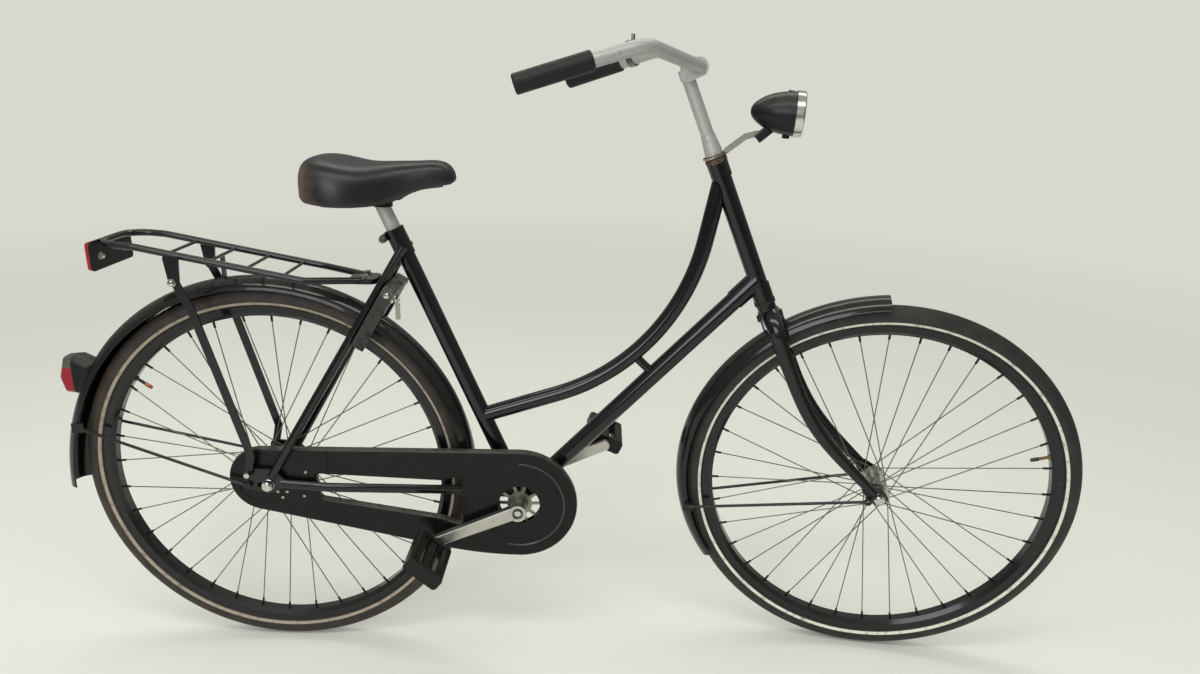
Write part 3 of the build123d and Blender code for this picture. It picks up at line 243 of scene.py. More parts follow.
def turn_profile(bm, profile, place, steps=32, angle=tau):
    """Spins (radius, along) points about the place's z; a profile that returns to its start makes a ring."""
    corners = [bm.verts.new((radius, 0, along)) for radius, along in profile]
    edges = [bm.edges.new(pair) for pair in zip(corners, corners[1:])]
    if profile[0][0] > 0 and profile[-1][0] > 0:
        edges.append(bm.edges.new((corners[-1], corners[0])))
    whole = angle >= tau
    before = set(bm.faces)
    bmesh.ops.spin(bm, geom=corners + edges, cent=(0, 0, 0), axis=(0, 0, 1), angle=angle, steps=steps,
                   use_merge=whole)
    if not whole:
        bmesh.ops.holes_fill(bm, edges=[edge for edge in bm.edges if edge.is_boundary])
    made = [face for face in bm.faces if face not in before]
    turned = list({corner for face in made for corner in face.verts})
    bmesh.ops.remove_doubles(bm, verts=turned, dist=1e-6)
    made = [face for face in bm.faces if face not in before]
    bmesh.ops.recalc_face_normals(bm, faces=made)
    turned = list({corner for face in made for corner in face.verts})
    bmesh.ops.transform(bm, matrix=place, verts=turned)


def facing(origin, axis, about=Vector((0.0123, 1, 0.0071))):
    """Place whose z runs along axis."""
    z = Vector(axis).normalized()
    x = Vector(about).cross(z)
    if x.length < 0.05:
        x = Vector((1, 0, 0.01)).cross(z)
    x.normalize()
    return place_of(Vector(origin), x, z.cross(x), z)


def hex_nut(bm, place, across_flats, height):
    """Six-sided nut or bolt head with its corners turned down, standing on the place."""
    radius = across_flats / 2 / cos(pi / 6)
    before = set(bm.verts)
    bmesh.ops.create_cone(bm, cap_ends=True, segments=6, radius1=radius, radius2=radius, depth=height)
    made = [corner for corner in bm.verts if corner not in before]
    bmesh.ops.translate(bm, vec=(0, 0, height / 2), verts=made)
    rims = [edge for edge in bm.edges if edge.verts[0] in made and edge.verts[0].co.z > height * 0.9
            and edge.verts[1].co.z > height * 0.9]
    bmesh.ops.bevel(bm, geom=rims, offset=height * 0.14, affect="EDGES", segments=2, profile=0.5, material=-1)
    made = [corner for corner in bm.verts if corner not in before]
    bmesh.ops.transform(bm, matrix=place, verts=made)


right_hand = Vector((0, -1, 0))
left_hand = Vector((0, 1, 0))

# ---- Bottom bracket cups and fork hardware ---------------------------------------------------
# Turned steel cups and rings, once plated. Weather has turned the headset rings brown;
# the cups by the crank stay grey where the case keeps them dry.
plated_steel = weathered("dull_plated_steel", "#A7A49C", "#5F5A50", 0.25, 6, 0.34, metallic=1,
                         grain_mm=0.5, grain_depth=0.01, dust=0.1)
rusty_plate = weathered("rusted_plated_steel", "#6B5A4C", "#35261D", 0.55, 4, 0.55, metallic=0.6,
                        grain_mm=0.8, grain_depth=0.05, dust=0.05)
dress(plated_steel, "bottom_bracket_cups")
dress(rusty_plate, "headset_locknuts", "seat_clamp_bolt")
dress(plated_steel, "brake_arm")
enamel_top = -0.1
plate_bottom = -0.05
for material_slot in nodes["headset_cups"].material_slots:
    # one finish for both cups: bare and brown at the top, enamelled with the frame at the bottom
    cups = rusty_plate.copy()
    cups.name = "headset_cup_finish"
    tree = cups.node_tree
    skin = next(node for node in tree.nodes if node.type == "BSDF_PRINCIPLED")
    place = add_node(cups, "TexCoord").outputs["Object"]
    height = add_node(cups, "SeparateXYZ", {0: place}).outputs["Z"]
    above = add_node(cups, "MapRange", {"Value": height, "From Min": enamel_top,
                                        "From Max": plate_bottom}).outputs["Result"]
    bare = skin.inputs["Base Color"].links[0].from_socket
    tone = add_node(cups, "Mix", {0: above, 6: linear("#0A0B0D"), 7: bare}, data_type="RGBA").outputs[2]
    tree.links.new(tone, skin.inputs["Base Color"])
    metal = add_node(cups, "Math", {0: above, 1: 0.7}, operation="MULTIPLY").outputs[0]
    tree.links.new(metal, skin.inputs["Metallic"])
    material_slot.material = cups

# ---- Wheels ----------------------------------------------------------------------------------
# Two spoked wheels of one size: black painted steel rims, 36 galvanised spokes with dark nipples
# laced three cross, and road tyres with a pale stripe on each wall. Air holds tyre to rim.
tyre_outside_r = 357.5 * mm
tyre_half_width = 20 * mm
stripe_r = 329.5 * mm
stripe_half_width = 2.4 * mm
nipple_start_r = 292.5 * mm
tread_start_r = 343 * mm
cuts_round = 320
cut_pitch = 7 * mm
rib_pitch = 5.2 * mm
ring_pitch = 1.6 * mm
wheel_axis = Vector(joints["front_wheel_spin"]["axis"])
steering_axis = Vector(joints["steering_turn"]["axis"])
fork_ahead = wheel_axis.cross(steering_axis)
front_axle = Vector(joints["front_wheel_spin"]["pos_m"])
rear_axle = Vector(joints["rear_wheel_spin"]["pos_m"])
wheel_places = {
    "front": place_of(front_axle, fork_ahead, wheel_axis.cross(fork_ahead), wheel_axis),
    "rear": place_of(rear_axle, Vector((1, 0, 0)), Vector((0, 0, -1)), left_hand)}


def own_place(material, place):
    """Object coordinates turned into a piece's own axes."""
    back = place.inverted()
    whole = add_node(material, "TexCoord").outputs["Object"]
    return add_node(material, "Mapping", {"Vector": whole, "Location": back.to_translation(),
                                          "Rotation": back.to_euler()}).outputs["Vector"]


def reach_of(material, vector):
    """Distance from a wheel's axle."""
    flat = add_node(material, "VectorMath", {0: vector, 1: (1, 1, 0)}, operation="MULTIPLY").outputs[0]
    return add_node(material, "VectorMath", {0: flat}, operation="LENGTH").outputs["Value"]


def tyre_rubber(name, place, wall, dirt, stripe, dirt_share):
    """Black rubber gone olive with road dust, a pale stripe on each wall and a fine block tread."""
    material = blank_material(name)
    vector = own_place(material, place)
    reach = reach_of(material, vector)
    parts = add_node(material, "SeparateXYZ", {0: vector}).outputs
    angle = add_node(material, "Math", {0: parts["Y"], 1: parts["X"]}, operation="ARCTAN2").outputs[0]
    inset = add_node(material, "Math", {0: reach, 1: stripe_r}, operation="SUBTRACT").outputs[0]
    off = add_node(material, "Math", {0: inset}, operation="ABSOLUTE").outputs[0]
    striped = add_node(material, "MapRange", {
        "Value": off, "From Min": stripe_half_width + 0.3 * mm,
        "From Max": stripe_half_width - 0.3 * mm}).outputs["Result"]
    cloud = add_node(material, "TexNoise", {"Vector": vector, "Scale": 22, "Detail": 7,
                                            "Roughness": 0.6}).outputs["Fac"]
    dirty = add_node(material, "MapRange", {"Value": cloud, "From Min": 0.62 - dirt_share * 0.4,
                                            "From Max": 0.8 - dirt_share * 0.3}).outputs["Result"]
    rubber = add_node(material, "Mix", {0: dirty, 6: linear(wall), 7: linear(dirt)},
                      data_type="RGBA").outputs[2]
    fine = add_node(material, "TexNoise", {"Vector": vector, "Scale": 90, "Detail": 5}).outputs["Fac"]
    scuffed = add_node(material, "MapRange", {"Value": fine, "From Min": 0.52, "From Max": 0.75,
                                              "To Max": 0.65}).outputs["Result"]
    pale = add_node(material, "Mix", {0: scuffed, 6: linear(stripe), 7: linear(dirt)},
                    data_type="RGBA").outputs[2]
    colour = add_node(material, "Mix", {0: striped, 6: rubber, 7: pale}, data_type="RGBA").outputs[2]
    # tread: slanted cuts 7 mm apart round the tyre, and ribs along it; fine rings on the walls
    aside = add_node(material, "Math", {0: parts["Z"]}, operation="ABSOLUTE").outputs[0]
    around = add_node(material, "Math", {0: angle, 1: cuts_round / tau * 2}, operation="MULTIPLY").outputs[0]
    slant = add_node(material, "Math", {0: aside, 1: 2 / cut_pitch, 2: around},
                     operation="MULTIPLY_ADD").outputs[0]
    phases = (("cuts", slant, pi), ("ribs", aside, tau / rib_pitch), ("rings", reach, tau / ring_pitch))
    waves = {}
    for wave, source, scale in phases:
        turned = add_node(material, "Math", {0: source, 1: scale}, operation="MULTIPLY").outputs[0]
        waves[wave] = add_node(material, "Math", {0: turned}, operation="SINE").outputs[0]
    cuts = add_node(material, "Math", {0: waves["cuts"], 1: 0.72}, operation="GREATER_THAN").outputs[0]
    ribs = add_node(material, "Math", {0: waves["ribs"], 1: 0.8}, operation="GREATER_THAN").outputs[0]
    grooves = add_node(material, "Math", {0: cuts, 1: ribs}, operation="MAXIMUM").outputs[0]
    on_tread = add_node(material, "MapRange", {"Value": reach, "From Min": tread_start_r - 0.5 * mm,
                                               "From Max": tread_start_r + 1 * mm}).outputs["Result"]
    cut = add_node(material, "Math", {0: grooves, 1: on_tread}, operation="MULTIPLY").outputs[0]
    ring_share = add_node(material, "MapRange", {"Value": reach, "From Min": tread_start_r,
                                                 "From Max": tread_start_r - 1 * mm,
                                                 "To Max": 0.12}).outputs["Result"]
    sunk = add_node(material, "Math", {0: cut, 1: -1}, operation="MULTIPLY").outputs[0]
    height = add_node(material, "Math", {0: waves["rings"], 1: ring_share, 2: sunk},
                      operation="MULTIPLY_ADD").outputs[0]
    bump = add_node(material, "Bump", {"Height": height, "Strength": 0.85, "Distance": 0.9 * mm})
    shader = add_node(material, "BsdfPrincipled", {"Base Color": colour, "Roughness": 0.62, "IOR": 1.52,
                                                   "Normal": bump.outputs[0]})
    add_node(material, "OutputMaterial", {"Surface": shader.outputs[0]})
    return material


# the casing's section in steps from the middle of the tread: tread's edge, bead line, bead
casing_step = radians(3.9)
tread_step = 12
bead_line_steps = (27, 28)
bead_step = 34
casing_inside_r = 320 * mm


def build_tyre(name, material):
    """Casing from bead to bead in one skin, with its tread and bead lines standing proud of the walls."""
    centre_r = tyre_outside_r - tyre_half_width
    outer = []
    for step in range(-bead_step, bead_step + 1):
        turn = step * casing_step
        lift = 0
        if abs(step) > tread_step:
            lift = -0.5 * mm
        if abs(step) in bead_line_steps:
            lift = 0.1 * mm
        radius = tyre_half_width - 0.15 * mm + lift
        outer.append((centre_r + radius * cos(turn), radius * sin(turn)))
    inner = [(radius, along * 0.8) for radius, along in (outer[-1], (casing_inside_r, 0), outer[0])]
    bm = bmesh.new()
    turn_profile(bm, outer + inner, wheel_places[name], steps=180)
    piece = shape_to_piece(f"{name}_tyre_casing", bm, material, f"{name}_wheel", crease=50)
    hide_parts(f"{name}_tyre")


build_tyre("front", tyre_rubber("front_tyre_rubber", wheel_places["front"],
                                "#1B1B18", "#2A2823", "#DAD5C8", 0.3))
build_tyre("rear", tyre_rubber("rear_tyre_rubber", wheel_places["rear"],
                               "#1D1916", "#33271E", "#9C907F", 0.55))

# Rims: gloss black paint, scuffed where levers and grit have touched it.
rim_enamel = weathered("black_rim_enamel", "#0C0C0E", "#3A362F", 0.1, 12, 0.22, grain_mm=1.4,
                       grain_depth=0.02, coat=0.5, coat_roughness=0.08, gleam=0.2, dust=0.04)
dress(rim_enamel, "front_rim", "rear_rim")

for name, place in wheel_places.items():
    # Galvanised wire, dull grey; the nipples by the rim are darker brass.
    wire = blank_material(f"{name}_galvanised_wire")
    vector = own_place(wire, place)
    reach = reach_of(wire, vector)
    by_rim = add_node(wire, "MapRange", {"Value": reach, "From Min": nipple_start_r,
                                         "From Max": nipple_start_r + 0.5 * mm}).outputs["Result"]
    spots = add_node(wire, "TexNoise", {"Vector": vector, "Scale": 160, "Detail": 4}).outputs["Fac"]
    clean = add_node(wire, "Mix", {0: spots, 6: linear("#8A8880"), 7: linear("#5C564C")},
                     data_type="RGBA").outputs[2]
    tone = add_node(wire, "Mix", {0: by_rim, 6: clean, 7: linear("#2E2B28")}, data_type="RGBA").outputs[2]
    shader = add_node(wire, "BsdfPrincipled", {"Base Color": tone, "Metallic": 0.85, "Roughness": 0.42})
    add_node(wire, "OutputMaterial", {"Surface": shader.outputs[0]})
    dress(wire, f"{name}_spokes")

# Hubs: turned alloy in front and a larger steel shell with the back-pedal brake behind.
hub_metal = weathered("bright_hub_metal", "#B9B8B2", "#77736A", 0.2, 5, 0.3, metallic=1, grain_mm=0.6,
                      grain_depth=0.01, dust=0.12)
dress(hub_metal, "front_hub")
old_hub_metal = weathered("grimy_hub_steel", "#6F6A61", "#2D2823", 0.5, 8, 0.5, metallic=0.8, grain_mm=0.8,
                          grain_depth=0.03, dust=0.2)
dress(old_hub_metal, "rear_hub")
bright_chrome = weathered("chromed_steel", "#C6C4BE", "#7C7468", 0.15, 5, 0.16, metallic=1, grain_mm=0.5,
                          grain_depth=0.005, dust=0.06)
dress(bright_chrome, "front_axle", "rear_axle")

# Axle washers: serrated steel discs clamped under each axle nut.
washer_r = 11 * mm
washer_bore_r = 10.4 * mm
washer_thick = 1.4 * mm
for name, nut_starts in (("front", 50 * mm), ("rear", 65 * mm)):
    bm = bmesh.new()
    for side in (-1, 1):
        outline = [(washer_bore_r, 0), (washer_r, 0.3 * mm), (washer_r, washer_thick),
                   (washer_bore_r, washer_thick)]
        along = nut_starts if side > 0 else -nut_starts - washer_thick
        turn_profile(bm, outline, wheel_places[name] @ Matrix.Translation((0, 0, along)), steps=40)
    shape_to_piece(f"{name}_axle_washers", bm, bright_chrome, "steering" if name == "front" else "frame")

# Tube valves: a brass stem through the rim with a rim nut and a small cap.
valve_brass = weathered("tarnished_brass", "#A5875A", "#6A4E33", 0.4, 3, 0.4, metallic=1, grain_mm=0.3,
                        grain_depth=0.02, dust=0.05)
cap_rubber = weathered("black_cap_rubber", "#1B1B1A", "#35332F", 0.2, 3, 0.55, grain_mm=0.4,
                       grain_depth=0.02)
copper = weathered("bare_copper", "#A4603E", "#5B3324", 0.35, 3, 0.42, metallic=1, grain_mm=0.3,
                   grain_depth=0.02)
valve_turns = {"front": -5.4, "rear": 144.3}
valve_top_r = 306 * mm
valve_reach = 33 * mm
cap_start = 19 * mm
for name, stem, cap in (("front", valve_brass, cap_rubber), ("rear", cap_rubber, copper)):
    turn = radians(valve_turns[name])
    place = wheel_places[name]
    outward = (place.to_3x3() @ Vector((cos(turn), -sin(turn), 0))).normalized()
    place = facing(place.to_translation() + outward * valve_top_r, -outward, wheel_axis)
    bm = bmesh.new()
    rim_nut = [(0, -1 * mm), (5 * mm, -1 * mm), (5 * mm, 2.4 * mm), (3.2 * mm, 4 * mm)]
    thread = [(2.7 * mm + (0.25 * mm if step % 2 else 0), step * 0.5 * mm) for step in range(8, 44)]
    turn_profile(bm, rim_nut + thread + [(0, 22 * mm)], place, steps=20)
    shape_to_piece(f"{name}_valve_stem", bm, stem, f"{name}_wheel")
    bm = bmesh.new()
    side = [(3.3 * mm, cap_start), (3.5 * mm, cap_start + 1 * mm), (3.5 * mm, valve_reach - 3 * mm),
            (2.6 * mm, valve_reach)]
    turn_profile(bm, [(0, cap_start)] + side + [(0, valve_reach)], place, steps=12)
    shape_to_piece(f"{name}_valve_cap", bm, cap, f"{name}_wheel")

# ---- Fenders ---------------------------------------------------------------------------------
# Rolled sheet steel in black enamel, with a wired edge along each side. Wire stays hold them:
# flattened ends are screwed to the sheet and the eyes sit on the axle ends.
fender_enamel = weathered("black_fender_enamel", "#090A0C", "#35332E", 0.05, 10, 0.2, grain_mm=3,
                          grain_depth=0.04, coat=0.5, coat_roughness=0.05, gleam=0.2, dust=0.06)
dress(fender_enamel, "front_fender", "rear_fender")
stay_enamel = weathered("black_wire_enamel", "#0C0D0F", "#3A362F", 0.12, 5, 0.3, grain_mm=1, grain_depth=0.03,
                        coat=0.4, coat_roughness=0.12, gleam=0.2, dust=0.04)
dress(stay_enamel, "front_fender_stays", "rear_fender_stays")

fender_half_width = 27 * mm
fender_depth = 20 * mm
edge_wire_r = 1.5 * mm
wire_inset = 0.6 * mm
# the frame's origin is the rider's seat point: its height above the floor, and ahead of the rear axle
rider_height = -floor_height
rider_ahead = -joints["rear_wheel_spin"]["pos_m"][0]
# the sheet's arcs: first centre ahead of the rear axle, its height above the floor and the start angle,
# then the crest radius and end angle of each arc
fender_arcs = {"rear": ((-6.3, 356.3, -2), ((378.1, 144.2), (446.5, 179))),
               "front": ((1135.4, 341.9, 94.9), ((391, 154.6), (339.8, 215)))}
steering_foot = Vector(joints["steering_turn"]["pos_m"])
straight_ahead = Vector((0, 1, 0)).cross(steering_axis)
# the front fender is worked out with the fork straight ahead and then turned with it
fork_place = place_of(steering_foot, fork_ahead, wheel_axis, steering_axis)
turned_fork = fork_place @ place_of(steering_foot, straight_ahead, left_hand, steering_axis).inverted()
for name, ((ahead, height, start), arcs) in fender_arcs.items():
    seat = turned_fork if name == "front" else Matrix.Identity(4)
    centre = Vector((ahead * mm - rider_ahead, 0, height * mm - rider_height))
    last_crest = arcs[0][0] * mm
    bm = bmesh.new()
    for crest_mm, end in arcs:
        crest = crest_mm * mm
        toward = Vector((cos(radians(start)), 0, sin(radians(start))))
        centre += toward * (last_crest - crest)
        for edge in (wire_inset - fender_half_width, fender_half_width - wire_inset):
            ring = [(crest - fender_depth + edge_wire_r * cos(turn), edge + edge_wire_r * sin(turn))
                    for turn in (tau * step / 8 for step in range(8))]
            axes = place_of(centre, toward, toward.cross(right_hand) * -1, right_hand)
            turn_profile(bm, ring, seat @ axes, steps=36, angle=radians(end - start))
        start, last_crest = end, crest
    shape_to_piece(f"{name}_fender_edge_wires", bm, fender_enamel, "steering" if name == "front" else "frame")

# ---- Rack, its reflector and the tail lamp ---------------------------------------------------
# Bent steel tube in black coating with welded cross wires, bolted to the seat stays through a
# clamp and to the dropouts by flat legs. The reflector plate hangs off its rear end on two bolts.
rack_coat = weathered("black_rack_coating", "#0C0D0F", "#45413A", 0.1, 6, 0.24, grain_mm=1, grain_depth=0.04,
                      coat=0.5, coat_roughness=0.08, gleam=0.2, dust=0.08)
dress(rack_coat, "rack", "rack_legs", "saddle_rails")
black_plastic = weathered("black_moulded_plastic", "#0F1012", "#2C2B28", 0.12, 10, 0.4, grain_mm=0.7,
                          grain_depth=0.03, gleam=0.25, dust=0.15)
dress(black_plastic, "reflector_plate", "tail_lamp_housing", "lamp_clamp")


def bolt(bm, place, across_flats, height, washer=0, dome=False):
    """Bolt head on its washer, standing on the place."""
    if washer:
        thick = 1.2 * mm
        turn_profile(bm, [(0, 0), (washer, 0), (washer, thick), (0, thick)], place, steps=24)
        place = place @ Matrix.Translation((0, 0, thick))
    if dome:
        radius = across_flats / 2
        turn_profile(bm, [(0, 0), (radius, 0), (radius * 0.97, height * 0.4), (radius * 0.7, height * 0.85),
                          (0, height)], place, steps=24)
    else:
        hex_nut(bm, place, across_flats, height)


# bolts on each side: at the top and foot of the rack's leg, through the clamp and through the reflector plate
leg_top = Vector((-0.313, 0, -0.202))
leg_top_face = 71 * mm
leg_foot = Vector((-0.222, 0, -0.555))
leg_foot_face = 74.8 * mm
clamp_top = Vector((-0.007, 0, -0.2))
clamp_bolt_offset = 17 * mm
plate_low, plate_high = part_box("reflector_plate")
plate_front = Vector((plate_high[0], 0, (plate_low[2] + plate_high[2]) / 2 - 2 * mm))
plate_bolt_offset = 38 * mm
bm = bmesh.new()
for hand in (right_hand, left_hand):
    bolt(bm, facing(leg_top + hand * leg_top_face, hand), 10 * mm, 5 * mm, washer=7 * mm)
    bolt(bm, facing(leg_foot + hand * leg_foot_face, hand), 10 * mm, 4.5 * mm)
    bolt(bm, facing(clamp_top + hand * clamp_bolt_offset, (0, 0, 1)), 10 * mm, 5 * mm, washer=7.5 * mm)
    bolt(bm, facing(plate_front + hand * plate_bolt_offset, (1, 0, 0)), 9 * mm, 5 * mm, washer=6.5 * mm)
shape_to_piece("rack_bolts", bm, bright_chrome, "frame")

# Reflector: red acrylic with rows of cube corners moulded into its back.
def ribbed_lens(name, tone, pitch_mm, roughness=0.12, transmission=0.0):
    """Moulded clear or red acrylic with fine flutes across it and rows along it; the low parts of the relief
    are painted darker, a painted shade in the troughs.
    """
    material = blank_material(name)
    place = add_node(material, "TexCoord").outputs["Object"]
    parts = add_node(material, "SeparateXYZ", {0: place}).outputs
    waves = []
    for way, pitch in (("Y", pitch_mm * mm), ("Z", pitch_mm * mm * 1.2)):
        turned = add_node(material, "Math", {0: parts[way], 1: tau / pitch}, operation="MULTIPLY").outputs[0]
        waves.append(add_node(material, "Math", {0: turned}, operation="SINE").outputs[0])
    both = add_node(material, "Math", {0: waves[0], 1: waves[1]}, operation="ADD").outputs[0]
    height = add_node(material, "Math", {0: both, 1: 0.5}, operation="MULTIPLY").outputs[0]
    bump = add_node(material, "Bump", {"Height": height, "Strength": 0.6, "Distance": 0.5 * mm})
    # painted shade: the lower the relief, the darker the lens colour
    trough_shade = add_node(material, "MapRange", {"Value": height, "From Min": -1, "To Min": 0.55}).outputs["Result"]
    dark = add_node(material, "Mix", {0: trough_shade, 6: linear("#120607"), 7: linear(tone)},
                    data_type="RGBA").outputs[2]
    shader = add_node(material, "BsdfPrincipled", {"Base Color": dark, "Roughness": roughness, "IOR": 1.49,
                                                   "Transmission Weight": transmission,
                                                   "Normal": bump.outputs[0]})
    add_node(material, "OutputMaterial", {"Surface": shader.outputs[0]})
    return material


dress(ribbed_lens("red_reflector_acrylic", "#A01B1E", 3), "reflector")
dress(ribbed_lens("red_lamp_acrylic", "#8E1220", 4), "tail_lamp_red_lens")
dress(ribbed_lens("clear_lamp_acrylic", "#55584F", 4, transmission=0.2), "tail_lamp_clear_lens")

# ---- Ring lock -------------------------------------------------------------------------------
# Pressed steel housing on the seat stays, grey on top and black below, with a sprung bolt ring.
# The key is in its barrel with a plain fob on a ring.
lock_casing = weathered("grey_lock_casing", "#23251F", "#0E0F11", 0.5, 16, 0.35, grain_mm=0.8,
                        grain_depth=0.04, dust=0.2)
dress(lock_casing, "ring_lock")
key_nickel = weathered("nickel_key", "#A9A69D", "#6B6458", 0.3, 3, 0.32, metallic=1, grain_mm=0.3,
                       grain_depth=0.01)
dress(key_nickel, "lock_key")
# the lock stands in front of the seat stays and leans as they do
lock_up = Vector((188, 0, 315)).normalized()
lock_front = left_hand.cross(lock_up)
spot_on_stays = Vector((191.1 * mm - rider_ahead, 0, 684.4 * mm - rider_height))
stays_to_middle = 19 * mm
lock_half_deep = 11 * mm
lock_middle = spot_on_stays + lock_front * stays_to_middle
lock_face = lock_middle + lock_front * lock_half_deep
barrel_offset = 46 * mm
rivet_offset = 50 * mm
bm = bmesh.new()
barrel = facing(lock_face + (lock_up + right_hand) * barrel_offset, lock_front)
turn_profile(bm, [(4.2 * mm, 0), (9 * mm, 0), (8.4 * mm, 3 * mm), (4.2 * mm, 3.6 * mm)], barrel, steps=32)
side_barrel = facing((233 * mm - rider_ahead, -60 * mm, 717 * mm - rider_height), right_hand)
bolt(bm, side_barrel, 11 * mm, 3 * mm, dome=True)
shape_to_piece("lock_barrel", bm, bright_chrome, "frame")
bm = bmesh.new()
for rise in (52 * mm, -28 * mm):
    spot = facing(lock_face + lock_up * rise + left_hand * rivet_offset, lock_front)
    bolt(bm, spot, 7 * mm, 2 * mm, dome=True)
shape_to_piece("lock_rivets", bm, key_nickel, "frame")
bm = bmesh.new()
ring_inner_r = 38.6 * mm
ring_outer_r = 40.8 * mm
ring_half_thick = 3 * mm
turn_profile(bm, [(ring_inner_r, -ring_half_thick), (ring_outer_r, -ring_half_thick),
                  (ring_outer_r, ring_half_thick), (ring_inner_r, ring_half_thick)],
             facing(lock_middle, lock_front), steps=40, angle=pi)
shape_to_piece("lock_bolt_ring", bm, bright_chrome, "frame")

# ---- Chain case ------------------------------------------------------------------------------
# Two moulded halves of black plastic screwed together round the frame, with pressed lines that
# follow the outline; a separate cover closes the rear end. The skin is fine leather grain.
case_plastic = weathered("black_case_plastic", "#0C0D0D", "#262522", 0.1, 14, 0.27, grain_mm=0.9,
                         grain_depth=0.06, gleam=0.25, dust=0.2)
dress(case_plastic, "chain_case_outer", "chain_case_inner", "chain_case_cover")
case_face = -53 * mm
bm = bmesh.new()
# the screws' places in millimetres, ahead of the rear axle and above the floor
for ahead, height in ((12, 339), (29, 339), (20, 327), (60, 331), (66, 379)):
    place = facing((ahead * mm - rider_ahead, case_face, height * mm - rider_height), right_hand)
    bolt(bm, place, 7.5 * mm, 2.6 * mm, dome=True)
shape_to_piece("chain_case_screws", bm, plated_steel, "frame")

# Pressed bead of the case: an arc round the crank, from the top over the front to the foot.
bead_r = 83 * mm
bead_half_width = 1.7 * mm
bead_centre = Vector(joints["crank_spin"]["pos_m"])
bead_centre.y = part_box("chain_case_outer")[0][1] + 0.3 * mm
bm = bmesh.new()
bead = [(bead_r + bead_half_width * cos(tau * step / 10), bead_half_width * sin(tau * step / 10))
        for step in range(10)]
turn_profile(bm, bead, place_of(bead_centre, Vector((0, 0, 1)), Vector((1, 0, 0)), right_hand * -1), steps=72,
             angle=radians(196))
# The bead is the case's own black plastic; its lighter grey is a painted highlight along the pressed line.
case_bead_painted_highlight = weathered("polished_case_plastic", "#2A2B2C", "#4A4A46", 0.1, 14, 0.2, grain_mm=0.9,
                          grain_depth=0.01, gleam=0.8, dust=0.1)
shape_to_piece("chain_case_bead", bm, case_bead_painted_highlight, "frame")

# ---- Stem, handlebar, grips and bell ---------------------------------------------------------
# Cast and drawn aluminium, once bright and now evenly matt with oxide; rubber grips pushed on.
# The bell is a steel dome on a clamp with a thumb lever.
oxidised_alloy = weathered("oxidised_aluminium", "#ACACA9", "#96958F", 0.3, 14, 0.46, metallic=0.55,
                           grain_mm=0.7, grain_depth=0.02, dust=0.04)
dress(oxidised_alloy, "stem", "handlebar", "seat_post")
grip_rubber = weathered("matt_grip_rubber", "#131415", "#22211F", 0.2, 8, 0.5, grain_mm=0.6, grain_depth=0.08,
                        gleam=0.3, dust=0.04)
dress(grip_rubber, "grips")
bell_steel = weathered("bell_steel", "#8D8B85", "#3F3A33", 0.35, 4, 0.25, metallic=1, grain_mm=0.4,
                       grain_depth=0.01)
dress(bell_steel, "bell")

# ---- Headlamp --------------------------------------------------------------------------------
# Bullet shell of black plastic with a silvered trim ring and a fluted glass, on a bent steel
# strut that is trapped under the headset's top nut.
lamp_shell = weathered("satin_lamp_plastic", "#101316", "#25272A", 0.1, 12, 0.3, grain_mm=0.8,
                       grain_depth=0.03, gleam=0.25, dust=0.12)
dress(lamp_shell, "headlamp_shell")
dress(weathered("silvered_plastic", "#CFCEC6", "#9A968A", 0.15, 6, 0.2, metallic=1, grain_mm=0.5,
                grain_depth=0.01), "headlamp_rim")
dress(plated_steel, "lamp_bracket")
dress(ribbed_lens("clear_fluted_glass", "#C9CAC2", 3.5, roughness=0.08, transmission=0.25), "headlamp_lens")

# Switch knob, let into the top of the shell behind the trim ring.
shell_low, shell_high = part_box("headlamp_shell")
knob_foot = Vector((shell_high[0] - 14 * mm, (shell_low[1] + shell_high[1]) / 2 + 3 * mm,
                    shell_high[2] - 5 * mm))
knob_outline = [(0, 0), (5.5 * mm, 0), (5.5 * mm, 5 * mm), (4.6 * mm, 6 * mm), (0, 6 * mm)]
bm = bmesh.new()
turn_profile(bm, knob_outline, facing(knob_foot, (0.12, 0, 1)), steps=24)
shape_to_piece("headlamp_switch", bm, cap_rubber, "steering")

# ---- Cranks, chainwheel and pedals -----------------------------------------------------------
# Forged and plated steel arms pressed on a square axle, held by bolts under flat dust rings.
# Block pedals: black end plates with four grooved rubber blocks round a steel spindle.
crank_plate = weathered("plated_crank_steel", "#BDBBB4", "#8A7C68", 0.2, 8, 0.33, metallic=1, grain_mm=0.6,
                        grain_depth=0.02, dust=0.15)
dress(crank_plate, "crank_left", "crank_right", "crank_spindles")
dress(weathered("dull_chainwheel_steel", "#8B887F", "#4A443A", 0.3, 8, 0.38, metallic=1, grain_mm=0.6,
                grain_depth=0.02, dust=0.1), "chainwheel")
pedal_rubber = weathered("pedal_rubber", "#0A0A0A", "#1E1D1A", 0.2, 6, 0.4, grain_mm=0.8, grain_depth=0.08,
                         gleam=0.3, dust=0.05)
dress(pedal_rubber, "pedal_left", "pedal_right")
crank_middle = Vector(joints["crank_spin"]["pos_m"])
crank_bolt_seat = 82 * mm
dust_ring_seat = 84 * mm
dust_ring = weathered("black_dust_ring", "#26241F", "#4B4436", 0.3, 3, 0.5, grain_mm=0.5, grain_depth=0.03)
ring_section = [(6.8 * mm, 0), (9.2 * mm, 0), (9.2 * mm, 2.2 * mm), (6.8 * mm, 2.2 * mm)]
bm = bmesh.new()
for hand in (right_hand, left_hand):
    turn_profile(bm, ring_section, facing(crank_middle + hand * dust_ring_seat, hand), steps=32)
shape_to_piece("crank_dust_rings", bm, dust_ring, "crankset")
bm = bmesh.new()
for hand in (right_hand, left_hand):
    hex_nut(bm, facing(crank_middle + hand * crank_bolt_seat, hand), 11.5 * mm, 3.6 * mm)
shape_to_piece("crank_bolts", bm, bright_chrome, "crankset")
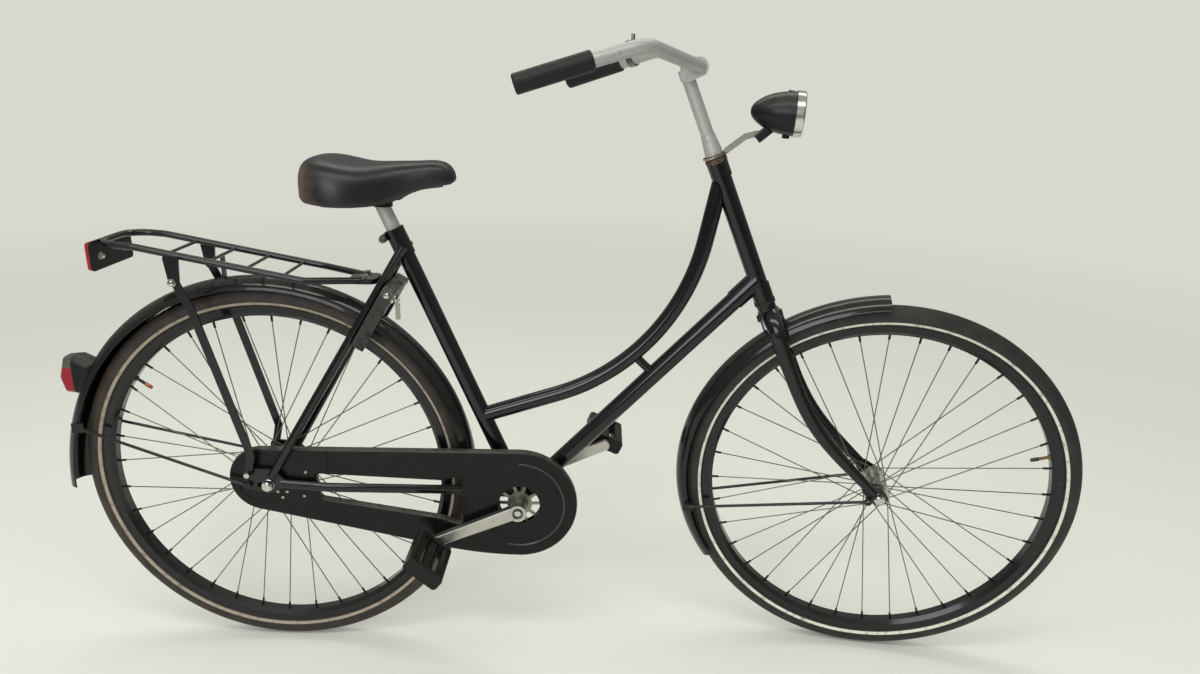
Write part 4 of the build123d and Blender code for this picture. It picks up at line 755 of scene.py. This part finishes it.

# ---- Saddle ----------------------------------------------------------------------------------
# A wide moulded saddle: padded vinyl with a fine leather grain over a plastic base, on steel rails.
# The vinyl is painted brown at the rear corners, partly wear and partly a painted sheen. The base and rails
# hide beneath it.
vinyl = blank_material("grained_vinyl")
place = add_node(vinyl, "TexCoord").outputs["Object"]
grain = add_node(vinyl, "TexVoronoi", {"Vector": place, "Scale": 1 / (2.2 * mm)}, feature="DISTANCE_TO_EDGE")
saddle_low, saddle_high = (Vector(corner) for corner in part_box("saddle"))
parts = add_node(vinyl, "SeparateXYZ", {0: place}).outputs
cloud = add_node(vinyl, "TexNoise", {"Vector": place, "Scale": 28, "Detail": 6,
                                     "Roughness": 0.65}).outputs["Fac"]
# the brown of wear and painted sheen grows toward the rear end, over 60 mm, and down the sides, over 22 mm
rearward = add_node(vinyl, "MapRange", {"Value": parts["X"], "From Min": saddle_low.x + 60 * mm,
                                        "From Max": saddle_low.x}).outputs["Result"]
low = add_node(vinyl, "MapRange", {"Value": parts["Z"], "From Min": saddle_high.z,
                                   "From Max": saddle_high.z - 22 * mm}).outputs["Result"]
rear_corner = add_node(vinyl, "Math", {0: rearward, 1: low}, operation="MULTIPLY").outputs[0]
rubbed_and_sheen = add_node(vinyl, "Math", {0: rear_corner, 1: cloud}, operation="MULTIPLY").outputs[0]
worn = add_node(vinyl, "MapRange", {"Value": rubbed_and_sheen, "From Min": 0.1, "From Max": 0.4}).outputs["Result"]
# brown at the rear corners: partly wear, partly a painted sheen
tone = add_node(vinyl, "Mix", {0: worn, 6: linear("#111313"), 7: linear("#54473B")},
                data_type="RGBA").outputs[2]
shine = add_node(vinyl, "MapRange", {"Value": cloud, "To Min": 0.26, "To Max": 0.4}).outputs["Result"]
cells = add_node(vinyl, "MapRange", {"Value": grain.outputs["Distance"], "From Max": 0.12}).outputs["Result"]
bump = add_node(vinyl, "Bump", {"Height": cells, "Strength": 0.35, "Distance": 0.18 * mm})
shader = add_node(vinyl, "BsdfPrincipled", {"Base Color": tone, "Roughness": shine, "IOR": 1.5,
                                            "Normal": bump.outputs[0]})
add_node(vinyl, "OutputMaterial", {"Surface": shader.outputs[0]})
dress(black_plastic, "saddle_base")

# The cushion is the saddle's solid with an even skin, rounded off by smoothing.
bm = bmesh.new()
bm.from_mesh(nodes["saddle"].data)
bmesh.ops.remove_doubles(bm, verts=bm.verts, dist=0.01 * mm)
mesh = bpy.data.meshes.new("saddle_form")
bm.to_mesh(mesh)
bm.free()
form = bpy.data.objects.new("saddle_form", mesh)
scene.collection.objects.link(form)
remesh = form.modifiers.new("even_skin", "REMESH")
remesh.mode = "VOXEL"
remesh.voxel_size = 3.5 * mm
evened = bpy.data.meshes.new_from_object(form.evaluated_get(bpy.context.evaluated_depsgraph_get()))
bpy.data.objects.remove(form)
bm = bmesh.new()
bm.from_mesh(evened)
for step in range(6):
    bmesh.ops.smooth_vert(bm, verts=bm.verts, factor=0.5, use_axis_x=True, use_axis_y=True, use_axis_z=True)
nose_length = 40 * mm
nose_lift = 3 * mm
for corner in bm.verts:
    # the nose thins a little toward its tip
    forward_share = max(0, (corner.co.x - (saddle_high.x - nose_length)) / nose_length)
    under = max(0, min(1, (saddle_high.z - 12 * mm - corner.co.z) / (30 * mm)))
    corner.co.z += nose_lift * forward_share ** 2 * under
cushion = shape_to_piece("saddle_cushion", bm, vinyl, "frame", crease=80)
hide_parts("saddle")
